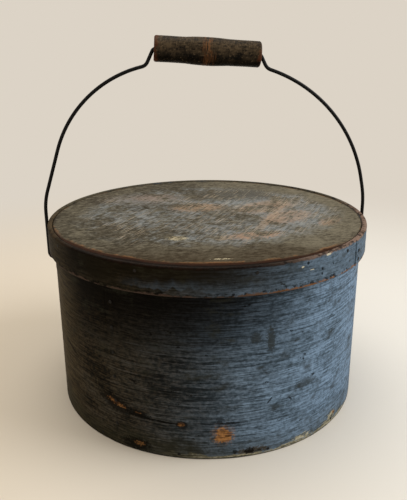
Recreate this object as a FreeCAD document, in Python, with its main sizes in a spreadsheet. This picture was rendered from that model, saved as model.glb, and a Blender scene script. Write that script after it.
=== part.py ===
import FreeCAD, Part
import math
import os
import Sketcher
from FreeCAD import Placement, Rotation, Vector

# Round bentwood pantry box with a drop-over lid and a swinging wire bail.
# Millimetres. The origin is the centre of the underside, +Z is up and the X axis runs from
# ear to ear, so the bail swings towards +Y and -Y. Angles are read anticlockwise from +X.

# Driving sizes: alias, value, what it is
SIZES = [
    ("lid_diameter", 317.5, "outside of the lid's band"),
    ("band_wall", 4.6, "thickness of the lid's bent band"),
    ("band_height", 25, "height of the lid's band"),
    ("lid_clearance", 0.6, "gap all round between lid band and box side"),
    ("lid_board_thick", 9, "thickness of the lid's round board"),
    ("lid_board_inset", 0.8, "how far the board lies below the band's top edge"),
    ("lid_board_gap", 0.5, "dried-out gap between lid board and band"),
    ("lid_seat_gap", 0.1, "air between the lid board and the rim that it rests on"),
    ("side_wall", 4.5, "thickness of the bent box side"),
    ("side_height", 172.1, "height of the box side"),
    ("base_thick", 9, "thickness of the bottom board"),
    ("base_gap", 0.1, "gap between bottom board and side"),
    ("side_seam_angle", 231, "angle at which the side's outer end stops"),
    ("side_lap", 63, "width of the side's lap"),
    ("side_lap_rise", 0.25, "step of the side's outer end"),
    ("band_seam_angle", 322.5, "angle at which the lid band's outer end stops"),
    ("band_lap", 58, "width of the lid band's lap"),
    ("band_lap_rise", 0.8, "step of the lid band's outer end"),
    ("seam_depth", 0.6, "depth of the notch at the foot of a lap"),
    ("seam_flank", 0.9, "length of the notch's sloping flank"),
    ("rim_round", 1.4, "wear on the lid's top edge"),
    ("band_foot_round", 0.9, "wear on the lid band's lower edge"),
    ("side_foot_round", 0.8, "wear on the side's lower edge"),
    ("board_round", 0.6, "wear on the lid board's edge"),
    ("tack_shank", 0.7, "radius of a tack's shank"),
    ("tack_head", 1.7, "radius of a tack's head"),
    ("tack_edge", 0.12, "thickness of a tack's head at its edge"),
    ("tack_crown", 0.35, "thickness of a tack's head in the middle"),
    ("tack_length", 4, "length of a lap tack's shank"),
    ("tack_inset", 6, "distance from a lap's edge to its row of tacks"),
    ("side_tack_count", 6, "tacks in the side's lap"),
    ("side_tack_low", 22, "height of the lowest side tack"),
    ("side_tack_pitch", 24, "spacing of the side tacks"),
    ("band_tack_count", 2, "tacks in the lid band's lap"),
    ("band_tack_low", 5.5, "height of the lower band tack above the band's lower edge"),
    ("band_tack_pitch", 8, "spacing of the band tacks"),
    ("nail_shank", 0.9, "radius of a board nail's shank"),
    ("nail_head", 1.5, "radius of a board nail's head"),
    ("nail_edge", 0.05, "thickness of a nail's head at its edge"),
    ("nail_crown", 0.2, "thickness of a nail's head in the middle"),
    ("nail_length", 17, "length of a board nail's shank"),
    ("base_nail_count", 12, "nails through the side into the bottom board"),
    ("base_nail_angle", 286, "angle of the first bottom nail"),
    ("lid_nail_count", 10, "nails through the band into the lid board"),
    ("lid_nail_angle", 280, "angle of the first lid nail"),
    ("nail_fit", 0.03, "gap between a nail or tack and its hole"),
    ("ear_drop", 17, "distance from the lid band's lower edge down to the pivot"),
    ("ear_width", 15, "width of an iron ear plate"),
    ("ear_height", 27, "height of an iron ear plate"),
    ("ear_wall", 1.3, "thickness of an iron ear plate"),
    ("ear_tack_pitch", 18.5, "distance between the two tacks of an ear plate"),
    ("ear_tack_length", 5.2, "length of an ear tack's shank"),
    ("burr_radius", 5, "outside of the washer on the inner wall"),
    ("burr_wall", 1.2, "thickness of the washer on the inner wall"),
    ("wire_radius", 1.75, "radius of the bail wire"),
    ("pivot_fit", 0.1, "running gap between wire and pivot holes"),
    ("wire_gap", 1, "gap between the bail's legs and the lid band"),
    ("foot_bend", 6, "radius of the bend at a leg's foot"),
    ("peen_radius", 3.2, "radius of the hammered end of the wire"),
    ("peen_height", 1.8, "height of the hammered end of the wire"),
    ("peen_lip", 0.6, "height of the straight rim of the hammered end"),
    ("peen_gap", 0.3, "gap between hammered end and washer"),
    ("left_sway_start", 6, "height over the lid at which the left leg starts to lean in"),
    ("left_sway_radius", 70, "radius of the left leg's first bend"),
    ("left_sway_rise", 21.6, "height of the left leg's first bend"),
    ("left_run", 42, "straight length above the left leg's first bend"),
    ("left_crown_radius", 116, "radius of the arch's left half"),
    ("left_knee_radius", 8, "radius of the left knee beside the grip"),
    ("left_grip_rise", 13.4, "height of the grip's left end over the arch"),
    ("right_sway_start", 5, "height over the lid at which the right leg starts to lean in"),
    ("right_sway_radius", 100, "radius of the right leg's first bend"),
    ("right_sway_rise", 21, "height of the right leg's first bend"),
    ("right_run", 8, "straight length above the right leg's first bend"),
    ("right_crown_radius", 145, "radius of the arch's right half"),
    ("right_knee_radius", 10, "radius of the right knee beside the grip"),
    ("right_grip_rise", 6.5, "height of the grip's right end over the arch"),
    ("riser_slope", 64, "slope of the short risers at the grip's ends"),
    ("shoulder_bend", 4, "radius of the bend where the wire enters the grip"),
    ("grip_length", 100.4, "length of the turned grip"),
    ("grip_shift", 1, "distance of the grip's middle from the box's middle"),
    ("grip_end_radius", 12.3, "radius of the grip near its ends"),
    ("grip_swell", 0.8, "how far the grip's middle stands out"),
    ("grip_swell_half", 20, "half the length of the swell"),
    ("grip_end_round", 2, "rounding of the grip's ends"),
    ("grip_bore_gap", 0.25, "gap between the wire and the grip's bore"),
    ("mouth_radius", 3.8, "radius of the worn mouth of the bore"),
    ("mouth_depth", 4.5, "depth of the worn mouth of the bore"),
    ("grip_play", 0.4, "end play of the grip between the wire's shoulders"),
]

MARGIN = 3  # how far a cutting profile runs past the face that it cuts
AXIS_LINE = 10  # length of the line that a nail's profile is turned about
LEAST_CUT = 1e-6  # a cut that removes less than this has missed the body
ZERO = "0"

# Sizes worked out from the driving sizes, as expressions of the sheet
LID_R = "(Sizes.lid_diameter / 2)"
BAND_BORE = f"({LID_R} - Sizes.band_wall)"
SIDE_R = f"({BAND_BORE} - Sizes.lid_clearance)"
SIDE_BORE = f"({SIDE_R} - Sizes.side_wall)"
BASE_R = f"({SIDE_BORE} - Sizes.base_gap)"
LID_BOARD_R = f"({BAND_BORE} - Sizes.lid_board_gap)"
LID_BOARD_LOW = "(Sizes.side_height + Sizes.lid_seat_gap)"
LID_BOARD_TOP = f"({LID_BOARD_LOW} + Sizes.lid_board_thick)"
LID_TOP = f"({LID_BOARD_TOP} + Sizes.lid_board_inset)"
BAND_LOW = f"({LID_TOP} - Sizes.band_height)"
PIVOT_Z = f"({BAND_LOW} - Sizes.ear_drop)"
HOLE_R = "(Sizes.wire_radius + Sizes.pivot_fit)"
EAR_R = f"({SIDE_R} + Sizes.ear_wall)"
BURR_R = f"({SIDE_BORE} - Sizes.burr_wall)"
LEG_X = f"({LID_R} + Sizes.wire_gap + Sizes.wire_radius)"
PEEN_X = f"({BURR_R} - Sizes.peen_gap)"
BASE_NAIL_Z = "(Sizes.base_thick / 2)"
LID_NAIL_Z = f"({LID_BOARD_TOP} - Sizes.lid_board_thick / 2)"
BORE_R = "(Sizes.wire_radius + Sizes.grip_bore_gap)"
GRIP_HALF = "(Sizes.grip_length / 2)"
SEAT_X = f"({GRIP_HALF} + Sizes.grip_play)"
PEEN_DOME = "(Sizes.peen_height - Sizes.peen_lip)"


def seat_height(side):
    """Height at which the wire would meet the grip's axis on one side of the grip."""
    size = f"Sizes.{side}_"
    lean_sine = f"({size}sway_rise / {size}sway_radius)"
    lean_cosine = f"sqrt(1 - {lean_sine} ^ 2)"
    arch = f"{size}run * {lean_cosine} + {size}crown_radius * (1 - {lean_sine})"
    return f"({LID_TOP} + {size}sway_start + {size}sway_rise + {arch} + {size}grip_rise)"


GRIP_DROP = f"({seat_height('left')} - {seat_height('right')})"
GRIP_MIDDLE = f"(({seat_height('left')} + {seat_height('right')}) / 2)"

doc = FreeCAD.newDocument("pantry_box")


# Spreadsheet
def make_sheet():
    """Writes the driving sizes into a sheet, one row each."""
    table = doc.addObject("Spreadsheet::Sheet", "Sizes")
    for row, (alias, value, meaning) in enumerate(SIZES, start=1):
        table.set(f"A{row}", alias)
        table.set(f"B{row}", str(value))
        table.set(f"C{row}", meaning)
        table.setAlias(f"B{row}", alias)
    doc.recompute()
    return table


sheet = make_sheet()


def number(expression):
    """The value of a sheet expression, used to draw a sketch near its final shape."""
    return float(sheet.evalExpression(str(expression)))


# Sketch helpers
def new_body(label, many=False):
    body = doc.addObject("PartDesign::Body", label)
    body.Label = label
    body.AllowCompound = many
    return body


def datum(body, role):
    """One of the body's own origin planes or axes."""
    return next(item for item in body.Origin.OriginFeatures if item.Role == role)


def new_sketch(body, role, name, turn=None, lift=None):
    """A sketch on an origin plane, turned about the Z axis or lifted along it."""
    sketch = body.newObject("Sketcher::SketchObject", name)
    sketch.AttachmentSupport = [(datum(body, role), "")]
    sketch.MapMode = "FlatFace"
    upright = Vector(0, 0, 1) if role == "XY_Plane" else Vector(0, 1, 0)
    angle = number(turn) if turn else 0
    height = number(lift) if lift else 0
    sketch.AttachmentOffset = Placement(Vector(0, 0, height), Rotation(upright, angle))
    if turn:
        sketch.setExpression("AttachmentOffset.Rotation.Angle", turn)
    if lift:
        sketch.setExpression("AttachmentOffset.Base.z", lift)
    return sketch


def bind(sketch, kind, *where, size):
    """A dimension of the sketch, driven by an expression."""
    index = sketch.addConstraint(Sketcher.Constraint(kind, *where, number(size)))
    sketch.setExpression(f"Constraints[{index}]", str(size))


def tie(sketch, kind, *where):
    sketch.addConstraint(Sketcher.Constraint(kind, *where))


def arc_between(start, end, centre):
    """The shorter arc from start to end, and the positions of its two ends."""
    first = math.atan2(start[1] - centre[1], start[0] - centre[0])
    last = math.atan2(end[1] - centre[1], end[0] - centre[0])
    radius = math.hypot(start[0] - centre[0], start[1] - centre[1])
    circle = Part.Circle(Vector(*centre, 0), Vector(0, 0, 1), radius)
    turn = (last - first) % (2 * math.pi)
    if turn <= math.pi:
        return Part.ArcOfCircle(circle, first, first + turn), 1, 2
    return Part.ArcOfCircle(circle, last, last + 2 * math.pi - turn), 2, 1


def outline(sketch, points, arcs=None):
    """A closed outline through points given as expressions. arcs names the segments that
    are arcs: segment number to radius and side, +1 for a centre left of the way round."""
    arcs = arcs or {}
    spots = [(number(x), number(y)) for x, y in points]
    ends = []
    for i, start in enumerate(spots):
        end = spots[(i + 1) % len(spots)]
        if i in arcs:
            radius, side = arcs[i]
            dx, dy = end[0] - start[0], end[1] - start[1]
            chord = math.hypot(dx, dy)
            reach = math.sqrt(max(number(radius) ** 2 - chord ** 2 / 4, 0)) * side / chord
            centre = ((start[0] + end[0]) / 2 - dy * reach, (start[1] + end[1]) / 2 + dx * reach)
            shape, first, last = arc_between(start, end, centre)
        else:
            shape, first, last = Part.LineSegment(Vector(*start, 0), Vector(*end, 0)), 1, 2
        ends.append((sketch.addGeometry(shape, False), first, last))
    for i, (x, y) in enumerate(points):
        shape, first, last = ends[i]
        before, _, before_last = ends[i - 1]
        tie(sketch, "Coincident", before, before_last, shape, first)
        bind(sketch, "DistanceX", shape, first, size=x)
        bind(sketch, "DistanceY", shape, first, size=y)
    for i, (radius, _) in arcs.items():
        bind(sketch, "Radius", ends[i][0], size=radius)


def circle(sketch, radius, x=None, y=None):
    """A circle on the origin, or on a point given as expressions."""
    at = Vector(number(x) if x else 0, number(y) if y else 0, 0)
    index = sketch.addGeometry(Part.Circle(at, Vector(0, 0, 1), number(radius)), False)
    if x is None and y is None:
        tie(sketch, "Coincident", index, 3, -1, 1)
    elif x is None:
        tie(sketch, "PointOnObject", index, 3, -2)
        bind(sketch, "DistanceY", index, 3, size=y)
    else:
        bind(sketch, "DistanceX", index, 3, size=x)
        bind(sketch, "DistanceY", index, 3, size=y)
    bind(sketch, "Radius", index, size=radius)


# Feature helpers
def pad(body, sketch, name, length, reverse=False):
    feature = body.newObject("PartDesign::Pad", name)
    feature.Profile = sketch
    feature.Reversed = reverse
    feature.setExpression("Length", length)
    doc.recompute()
    return feature


def bore_through(body, sketch, name):
    """Cuts a sketch through the whole body, to both sides of its plane."""
    before = body.Shape.Volume
    feature = body.newObject("PartDesign::Pocket", name)
    feature.Profile = sketch
    feature.Type = "ThroughAll"
    feature.Midplane = True
    doc.recompute()
    must_remove(feature, before)
    return feature


def spin(body, sketch, name, axis, kind="PartDesign::Revolution"):
    """Turns a sketch right round an axis, adding or cutting."""
    before = body.Shape.Volume if kind == "PartDesign::Groove" else 0
    feature = body.newObject(kind, name)
    feature.Profile = sketch
    feature.ReferenceAxis = axis
    feature.Angle = 360
    doc.recompute()
    if kind == "PartDesign::Groove":
        must_remove(feature, before)
    return feature


def must_remove(feature, before):
    if feature.Shape.Volume >= before - LEAST_CUT:
        raise RuntimeError(f"{feature.Label} cuts nothing")


def ring_of(body, feature, count):
    """Repeats a feature round the Z axis."""
    pattern = body.newObject("PartDesign::PolarPattern", f"{feature.Name}_ring")
    pattern.Originals = [feature]
    pattern.Axis = (datum(body, "Z_Axis"), [""])
    pattern.Angle = 360
    pattern.setExpression("Occurrences", count)
    body.Tip = pattern
    doc.recompute()


def column_of(body, feature, count, pitch):
    """Repeats a feature upwards."""
    pattern = body.newObject("PartDesign::LinearPattern", f"{feature.Name}_column")
    pattern.Originals = [feature]
    pattern.Direction = (datum(body, "Z_Axis"), [""])
    pattern.setExpression("Occurrences", count)
    pattern.setExpression("Length", f"{pitch} * ({count} - 1)")
    body.Tip = pattern
    doc.recompute()


def wear_edge(body, name, radius, height, rounding, outward=True, upward=True):
    """Rounds the outer or inner, upper or lower edge of a hoop or disc by a turned cut."""
    x = 1 if outward else -1
    y = 1 if upward else -1
    sketch = new_sketch(body, "XZ_Plane", f"{name}_profile")
    inner = f"{radius} - {x} * {rounding}"
    outer = f"{radius} + {x} * {MARGIN}"
    level = f"{height} - {y} * {rounding}"
    beyond = f"{height} + {y} * {MARGIN}"
    points = [(radius, level), (inner, height), (inner, beyond), (outer, beyond), (outer, level)]
    outline(sketch, points, {0: (rounding, x * y)})
    spin(body, sketch, name, (datum(body, "Z_Axis"), [""]), "PartDesign::Groove")


def lapped_hoop(label, radius, wall, height, low, seam, lap, rise):
    """A bent hoop whose outer end laps over its inner one. The lap's edge lies on the
    sketch's X axis, a notch runs down its foot, and the step fades out across the lap."""
    body = new_body(label)
    sketch = new_sketch(body, "XY_Plane", f"{label}_plan", turn=seam, lift=low)
    r, depth, flank = number(radius), number("Sizes.seam_depth"), number("Sizes.seam_flank")
    top = r + number(rise)
    fade = math.asin(number(lap) / r)
    notch = r - depth
    foot = math.acos((r ** 2 + notch ** 2 - flank ** 2) / (2 * r * notch))
    shift = (r ** 2 - top ** 2) / (2 * (r - top * math.cos(fade)))
    fade_spot = (r * math.cos(fade), r * math.sin(fade))
    foot_spot = (r * math.cos(foot), -r * math.sin(foot))
    lap_centre = (shift * math.cos(fade), shift * math.sin(fade))
    ring = Part.Circle(Vector(0, 0, 0), Vector(0, 0, 1), r)
    hoop = sketch.addGeometry(Part.ArcOfCircle(ring, fade, 2 * math.pi - foot), False)
    slope = sketch.addGeometry(
        Part.LineSegment(Vector(*foot_spot, 0), Vector(notch, 0, 0)), False)
    step = sketch.addGeometry(
        Part.LineSegment(Vector(notch, 0, 0), Vector(top, 0, 0)), False)
    shape, first, last = arc_between((top, 0), fade_spot, lap_centre)
    ramp = sketch.addGeometry(shape, False)
    tie(sketch, "Coincident", hoop, 3, -1, 1)
    tie(sketch, "Coincident", hoop, 2, slope, 1)
    tie(sketch, "Coincident", slope, 2, step, 1)
    tie(sketch, "Coincident", step, 2, ramp, first)
    tie(sketch, "Tangent", ramp, last, hoop, 1)
    tie(sketch, "PointOnObject", step, 1, -1)
    tie(sketch, "PointOnObject", step, 2, -1)
    bind(sketch, "Radius", hoop, size=radius)
    bind(sketch, "DistanceX", step, 1, size=f"{radius} - Sizes.seam_depth")
    bind(sketch, "DistanceX", step, 2, size=f"{radius} + {rise}")
    bind(sketch, "Distance", slope, size="Sizes.seam_flank")
    bind(sketch, "DistanceY", hoop, 1, size=lap)
    circle(sketch, f"({radius} - {wall})")
    pad(body, sketch, f"{label}_hoop", height)
    return body


def round_board(label, radius, thick, low):
    body = new_body(label)
    sketch = new_sketch(body, "XY_Plane", f"{label}_plan", lift=low)
    circle(sketch, radius)
    pad(body, sketch, f"{label}_disc", thick)
    return body


def minus(expression):
    return f"-({expression})"


# Tacks and nails stand square to the surface. Each group has the radius of the face under its
# heads, and the word that its sizes start with.
SIDE_TACK = (f"({SIDE_R} + Sizes.side_lap_rise)", "tack")
BAND_TACK = (f"({LID_R} + Sizes.band_lap_rise)", "tack")
BASE_NAIL = (SIDE_R, "nail")
LID_NAIL = (LID_R, "nail")
EAR_TACK = (EAR_R, "tack")


def lap_turn(seam, radius):
    """Angle of the row of tacks beside a lap's edge, in degrees."""
    return f"({seam} + Sizes.tack_inset / {radius} * 180 / pi)"


SIDE_TACK_TURN = lap_turn("Sizes.side_seam_angle", SIDE_R)
BAND_TACK_TURN = lap_turn("Sizes.band_seam_angle", LID_R)
BAND_TACK_Z = f"({BAND_LOW} + Sizes.band_tack_low)"
EAR_TACK_Z = f"({PIVOT_Z} - Sizes.ear_tack_pitch / 2)"
EAR_TACK_COUNT = "2"  # one above the pivot and one below it
EARS = (("right", ZERO), ("left", "180"))


def axis_line(sketch, height):
    """A level construction line that a nail or hole is turned about."""
    z = number(height)
    line = sketch.addGeometry(Part.LineSegment(Vector(0, z, 0), Vector(AXIS_LINE, z, 0)), True)
    tie(sketch, "Horizontal", line)
    tie(sketch, "PointOnObject", line, 1, -2)
    bind(sketch, "DistanceX", line, 2, size=AXIS_LINE)
    bind(sketch, "DistanceY", line, 1, size=height)
    return (sketch, ["Axis0"])


def fastener(body, name, face, kind, length, turn, height):
    """One tack or nail: a shank and a slightly domed head, turned about its own axis."""
    sketch = new_sketch(body, "XZ_Plane", f"{name}_profile", turn=turn)
    axis = axis_line(sketch, height)
    tip = f"{face} - {length}"
    shank = f"{height} + Sizes.{kind}_shank"
    head = f"{height} + Sizes.{kind}_head"
    edge = f"{face} + Sizes.{kind}_edge"
    crown = f"{face} + Sizes.{kind}_crown"
    rise = f"(Sizes.{kind}_crown - Sizes.{kind}_edge)"
    dome = f"((Sizes.{kind}_head ^ 2 + {rise} ^ 2) / (2 * {rise}))"
    points = [(tip, height), (crown, height), (edge, head), (face, head), (face, shank),
              (tip, shank)]
    outline(sketch, points, {1: (dome, 1)})
    return spin(body, sketch, name, axis)


def fastener_hole(body, name, kind, low_radius, high_radius, turn, height):
    """The hole of one tack or nail, from one radius out to another."""
    sketch = new_sketch(body, "XZ_Plane", f"{name}_profile", turn=turn)
    axis = axis_line(sketch, height)
    wall = f"{height} + Sizes.{kind}_shank + Sizes.nail_fit"
    points = [(low_radius, height), (high_radius, height), (high_radius, wall),
              (low_radius, wall)]
    outline(sketch, points)
    return spin(body, sketch, name, axis, "PartDesign::Groove")


# Box side: the bent hoop, its lap tacks' holes, the pivot holes and the nail holes
def make_box_side():
    body = lapped_hoop("box_side", SIDE_R, "Sizes.side_wall", "Sizes.side_height", None,
                       "Sizes.side_seam_angle", "Sizes.side_lap", "Sizes.side_lap_rise")
    wear_edge(body, "side_foot_wear", SIDE_R, ZERO, "Sizes.side_foot_round",
              upward=False)
    wear_edge(body, "side_rim_wear", SIDE_R, "Sizes.side_height", "Sizes.board_round")
    sketch = new_sketch(body, "YZ_Plane", "pivot_hole_plan")
    circle(sketch, HOLE_R, y=PIVOT_Z)
    bore_through(body, sketch, "pivot_holes")
    inside = f"{SIDE_BORE} - {MARGIN}"
    outside = f"{SIDE_R} + {MARGIN}"
    hole = fastener_hole(body, "side_tack_hole", "tack", inside, outside,
                         SIDE_TACK_TURN, "Sizes.side_tack_low")
    column_of(body, hole, "Sizes.side_tack_count", "Sizes.side_tack_pitch")
    hole = fastener_hole(body, "base_nail_hole", "nail", inside, outside,
                         "Sizes.base_nail_angle", BASE_NAIL_Z)
    ring_of(body, hole, "Sizes.base_nail_count")
    for name, turn in EARS:
        hole = fastener_hole(body, f"{name}_ear_tack_hole", "tack", inside, outside,
                             turn, EAR_TACK_Z)
        column_of(body, hole, EAR_TACK_COUNT, "Sizes.ear_tack_pitch")


# Bottom board: a disc pushed into the side, nailed through it
def make_bottom_board():
    body = round_board("bottom_board", BASE_R, "Sizes.base_thick", None)
    depth = f"{SIDE_R} - Sizes.nail_length - Sizes.nail_fit"
    hole = fastener_hole(body, "board_nail_hole", "nail", depth, f"{BASE_R} + {MARGIN}",
                         "Sizes.base_nail_angle", BASE_NAIL_Z)
    ring_of(body, hole, "Sizes.base_nail_count")


# Lid band: the wider hoop, worn at both edges
def make_lid_band():
    body = lapped_hoop("lid_band", LID_R, "Sizes.band_wall", "Sizes.band_height", BAND_LOW,
                       "Sizes.band_seam_angle", "Sizes.band_lap", "Sizes.band_lap_rise")
    wear_edge(body, "band_rim_wear", LID_R, LID_TOP, "Sizes.rim_round")
    wear_edge(body, "band_bore_wear", BAND_BORE, LID_TOP, "Sizes.board_round", outward=False)
    wear_edge(body, "band_foot_wear", LID_R, BAND_LOW, "Sizes.band_foot_round", upward=False)
    inside = f"{BAND_BORE} - {MARGIN}"
    outside = f"{LID_R} + {MARGIN}"
    hole = fastener_hole(body, "band_tack_hole", "tack", inside, outside,
                         BAND_TACK_TURN, BAND_TACK_Z)
    column_of(body, hole, "Sizes.band_tack_count", "Sizes.band_tack_pitch")
    hole = fastener_hole(body, "lid_nail_hole", "nail", inside, outside,
                         "Sizes.lid_nail_angle", LID_NAIL_Z)
    ring_of(body, hole, "Sizes.lid_nail_count")


# Lid board: a disc just below the band's top edge, nailed through the band
def make_lid_board():
    body = round_board("lid_board", LID_BOARD_R, "Sizes.lid_board_thick", LID_BOARD_LOW)
    wear_edge(body, "lid_board_wear", LID_BOARD_R, LID_BOARD_TOP, "Sizes.board_round")
    depth = f"{LID_R} - Sizes.nail_length - Sizes.nail_fit"
    hole = fastener_hole(body, "board_nail_hole", "nail", depth, f"{LID_BOARD_R} + {MARGIN}",
                         "Sizes.lid_nail_angle", LID_NAIL_Z)
    ring_of(body, hole, "Sizes.lid_nail_count")


# Rows and rings of tacks and nails, one node for each group
def make_fasteners():
    face, kind = SIDE_TACK
    body = new_body("side_lap_tacks", many=True)
    tack = fastener(body, "side_tack", face, kind, "Sizes.tack_length", SIDE_TACK_TURN,
                    "Sizes.side_tack_low")
    column_of(body, tack, "Sizes.side_tack_count", "Sizes.side_tack_pitch")

    face, kind = BAND_TACK
    body = new_body("lid_lap_tacks", many=True)
    tack = fastener(body, "band_tack", face, kind, "Sizes.tack_length", BAND_TACK_TURN,
                    BAND_TACK_Z)
    column_of(body, tack, "Sizes.band_tack_count", "Sizes.band_tack_pitch")

    face, kind = BASE_NAIL
    body = new_body("bottom_nails", many=True)
    nail = fastener(body, "base_nail", face, kind, "Sizes.nail_length",
                    "Sizes.base_nail_angle", BASE_NAIL_Z)
    ring_of(body, nail, "Sizes.base_nail_count")

    face, kind = LID_NAIL
    body = new_body("lid_nails", many=True)
    nail = fastener(body, "lid_nail", face, kind, "Sizes.nail_length",
                    "Sizes.lid_nail_angle", LID_NAIL_Z)
    ring_of(body, nail, "Sizes.lid_nail_count")

    face, kind = EAR_TACK
    for name, turn in EARS:
        body = new_body(f"ear_tacks_{name}", many=True)
        tack = fastener(body, f"{name}_ear_tack", face, kind, "Sizes.ear_tack_length",
                        turn, EAR_TACK_Z)
        column_of(body, tack, EAR_TACK_COUNT, "Sizes.ear_tack_pitch")


def bend_to_wall(body, name, inner, outer):
    """Keeps only what lies between two radii, so that a flat plate follows the wall."""
    z_axis = (datum(body, "Z_Axis"), [""])
    low = f"{PIVOT_Z} - Sizes.ear_height"
    high = f"{PIVOT_Z} + Sizes.ear_height"
    sketch = new_sketch(body, "XZ_Plane", f"{name}_inside")
    outline(sketch, [(ZERO, low), (inner, low), (inner, high), (ZERO, high)])
    spin(body, sketch, f"{name}_hollow", z_axis, "PartDesign::Groove")
    sketch = new_sketch(body, "XZ_Plane", f"{name}_outside")
    far = f"{outer} + 2 * {MARGIN}"
    outline(sketch, [(outer, low), (far, low), (far, high), (outer, high)])
    spin(body, sketch, f"{name}_face", z_axis, "PartDesign::Groove")


# Ear plate: a round-ended iron strap on the side, with the pivot hole and two tack holes
def make_ear_plate(name, reverse):
    body = new_body(f"ear_plate_{name}")
    sketch = new_sketch(body, "YZ_Plane", f"{name}_ear_plan")
    half = "(Sizes.ear_width / 2)"
    low = f"({PIVOT_Z} - Sizes.ear_height / 2 + {half})"
    high = f"({PIVOT_Z} + Sizes.ear_height / 2 - {half})"
    points = [(half, low), (half, high), (ZERO, f"{high} + {half}"),
              (minus(half), high), (minus(half), low), (ZERO, f"{low} - {half}")]
    outline(sketch, points, {i: (half, 1) for i in (1, 2, 4, 5)})
    circle(sketch, HOLE_R, y=PIVOT_Z)
    for sign in ("-", "+"):
        circle(sketch, "(Sizes.tack_shank + Sizes.nail_fit)",
               y=f"{PIVOT_Z} {sign} Sizes.ear_tack_pitch / 2")
    pad(body, sketch, f"{name}_ear_bar", f"{EAR_R} + {MARGIN}", reverse)
    bend_to_wall(body, f"{name}_ear", SIDE_R, EAR_R)


# Burr: the washer under the hammered end of the wire, inside the box
def make_burr(name, reverse):
    body = new_body(f"pivot_washer_{name}")
    sketch = new_sketch(body, "YZ_Plane", f"{name}_burr_plan")
    circle(sketch, "Sizes.burr_radius", y=PIVOT_Z)
    circle(sketch, HOLE_R, y=PIVOT_Z)
    pad(body, sketch, f"{name}_burr_bar", f"{SIDE_BORE} + {MARGIN}", reverse)
    bend_to_wall(body, f"{name}_burr", BURR_R, SIDE_BORE)


# Bail wire: a path of straight runs and tangent arcs, swept with the wire's round section
def side_path(name, sign):
    """The points and centres of one half of the bail, from its foot to its shoulder.
    sign is +1 for the right half and -1 for the left one."""
    part = {key: number(f"Sizes.{name}_{key}") for key in (
        "sway_start", "sway_radius", "sway_rise", "run", "crown_radius", "knee_radius",
        "grip_rise")}
    leg, pivot, bend = number(LEG_X), number(PIVOT_Z), number("Sizes.foot_bend")
    start = number(LID_TOP) + part["sway_start"]
    sway, crown, knee = part["sway_radius"], part["crown_radius"], part["knee_radius"]
    lean = math.asin(part["sway_rise"] / sway)
    slope = math.radians(number("Sizes.riser_slope"))
    seat = number(SEAT_X) + sign * number("Sizes.grip_shift")

    sway_centre = (leg - sway, start)
    sway_end = (sway_centre[0] + sway * math.cos(lean), start + sway * math.sin(lean))
    run_end = (sway_end[0] - part["run"] * math.sin(lean),
               sway_end[1] + part["run"] * math.cos(lean))
    crown_centre = (run_end[0] - crown * math.cos(lean), run_end[1] - crown * math.sin(lean))
    corner = (seat, crown_centre[1] + crown + part["grip_rise"])
    down = (math.cos(slope), -math.sin(slope))
    out = (math.sin(slope), math.cos(slope))
    w = (corner[0] + knee * out[0] - crown_centre[0], corner[1] + knee * out[1] - crown_centre[1])
    along = w[0] * down[0] + w[1] * down[1]
    rest = w[0] ** 2 + w[1] ** 2 - (crown + knee) ** 2
    fall = -along - math.sqrt(along ** 2 - rest)
    riser_end = (corner[0] + fall * down[0], corner[1] + fall * down[1])
    knee_centre = (riser_end[0] + knee * out[0], riser_end[1] + knee * out[1])
    share = crown / (crown + knee)
    crown_end = tuple(a + (b - a) * share for a, b in zip(crown_centre, knee_centre))
    spots = {
        "foot": (number(PEEN_X), pivot), "foot_end": (leg - bend, pivot),
        "bend_centre": (leg - bend, pivot + bend), "leg_low": (leg, pivot + bend),
        "leg_top": (leg, start), "sway_centre": sway_centre, "sway_end": sway_end,
        "run_end": run_end, "crown_centre": crown_centre, "crown_end": crown_end,
        "knee_centre": knee_centre, "riser_end": riser_end, "corner": corner,
    }
    return {key: (sign * x, y) for key, (x, y) in spots.items()}


def add_shoulder(spots, other_corner, sign):
    """Adds the bend from the riser to the straight run through the grip."""
    bend = number("Sizes.shoulder_bend")
    slope = math.radians(number("Sizes.riser_slope"))
    corner = spots["corner"]
    down = (sign * math.cos(slope), -math.sin(slope))
    dx, dy = other_corner[0] - corner[0], other_corner[1] - corner[1]
    length = math.hypot(dx, dy)
    across = (dx / length, dy / length)
    cosine = -(down[0] * across[0] + down[1] * across[1])
    reach = bend * math.tan(math.acos(cosine) / 2)
    spots["riser_top"] = (corner[0] + reach * down[0], corner[1] + reach * down[1])
    spots["top_end"] = (corner[0] + reach * across[0], corner[1] + reach * across[1])
    spots["shoulder_centre"] = (spots["riser_top"][0] - sign * bend * math.sin(slope),
                                spots["riser_top"][1] - bend * math.cos(slope))


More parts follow.
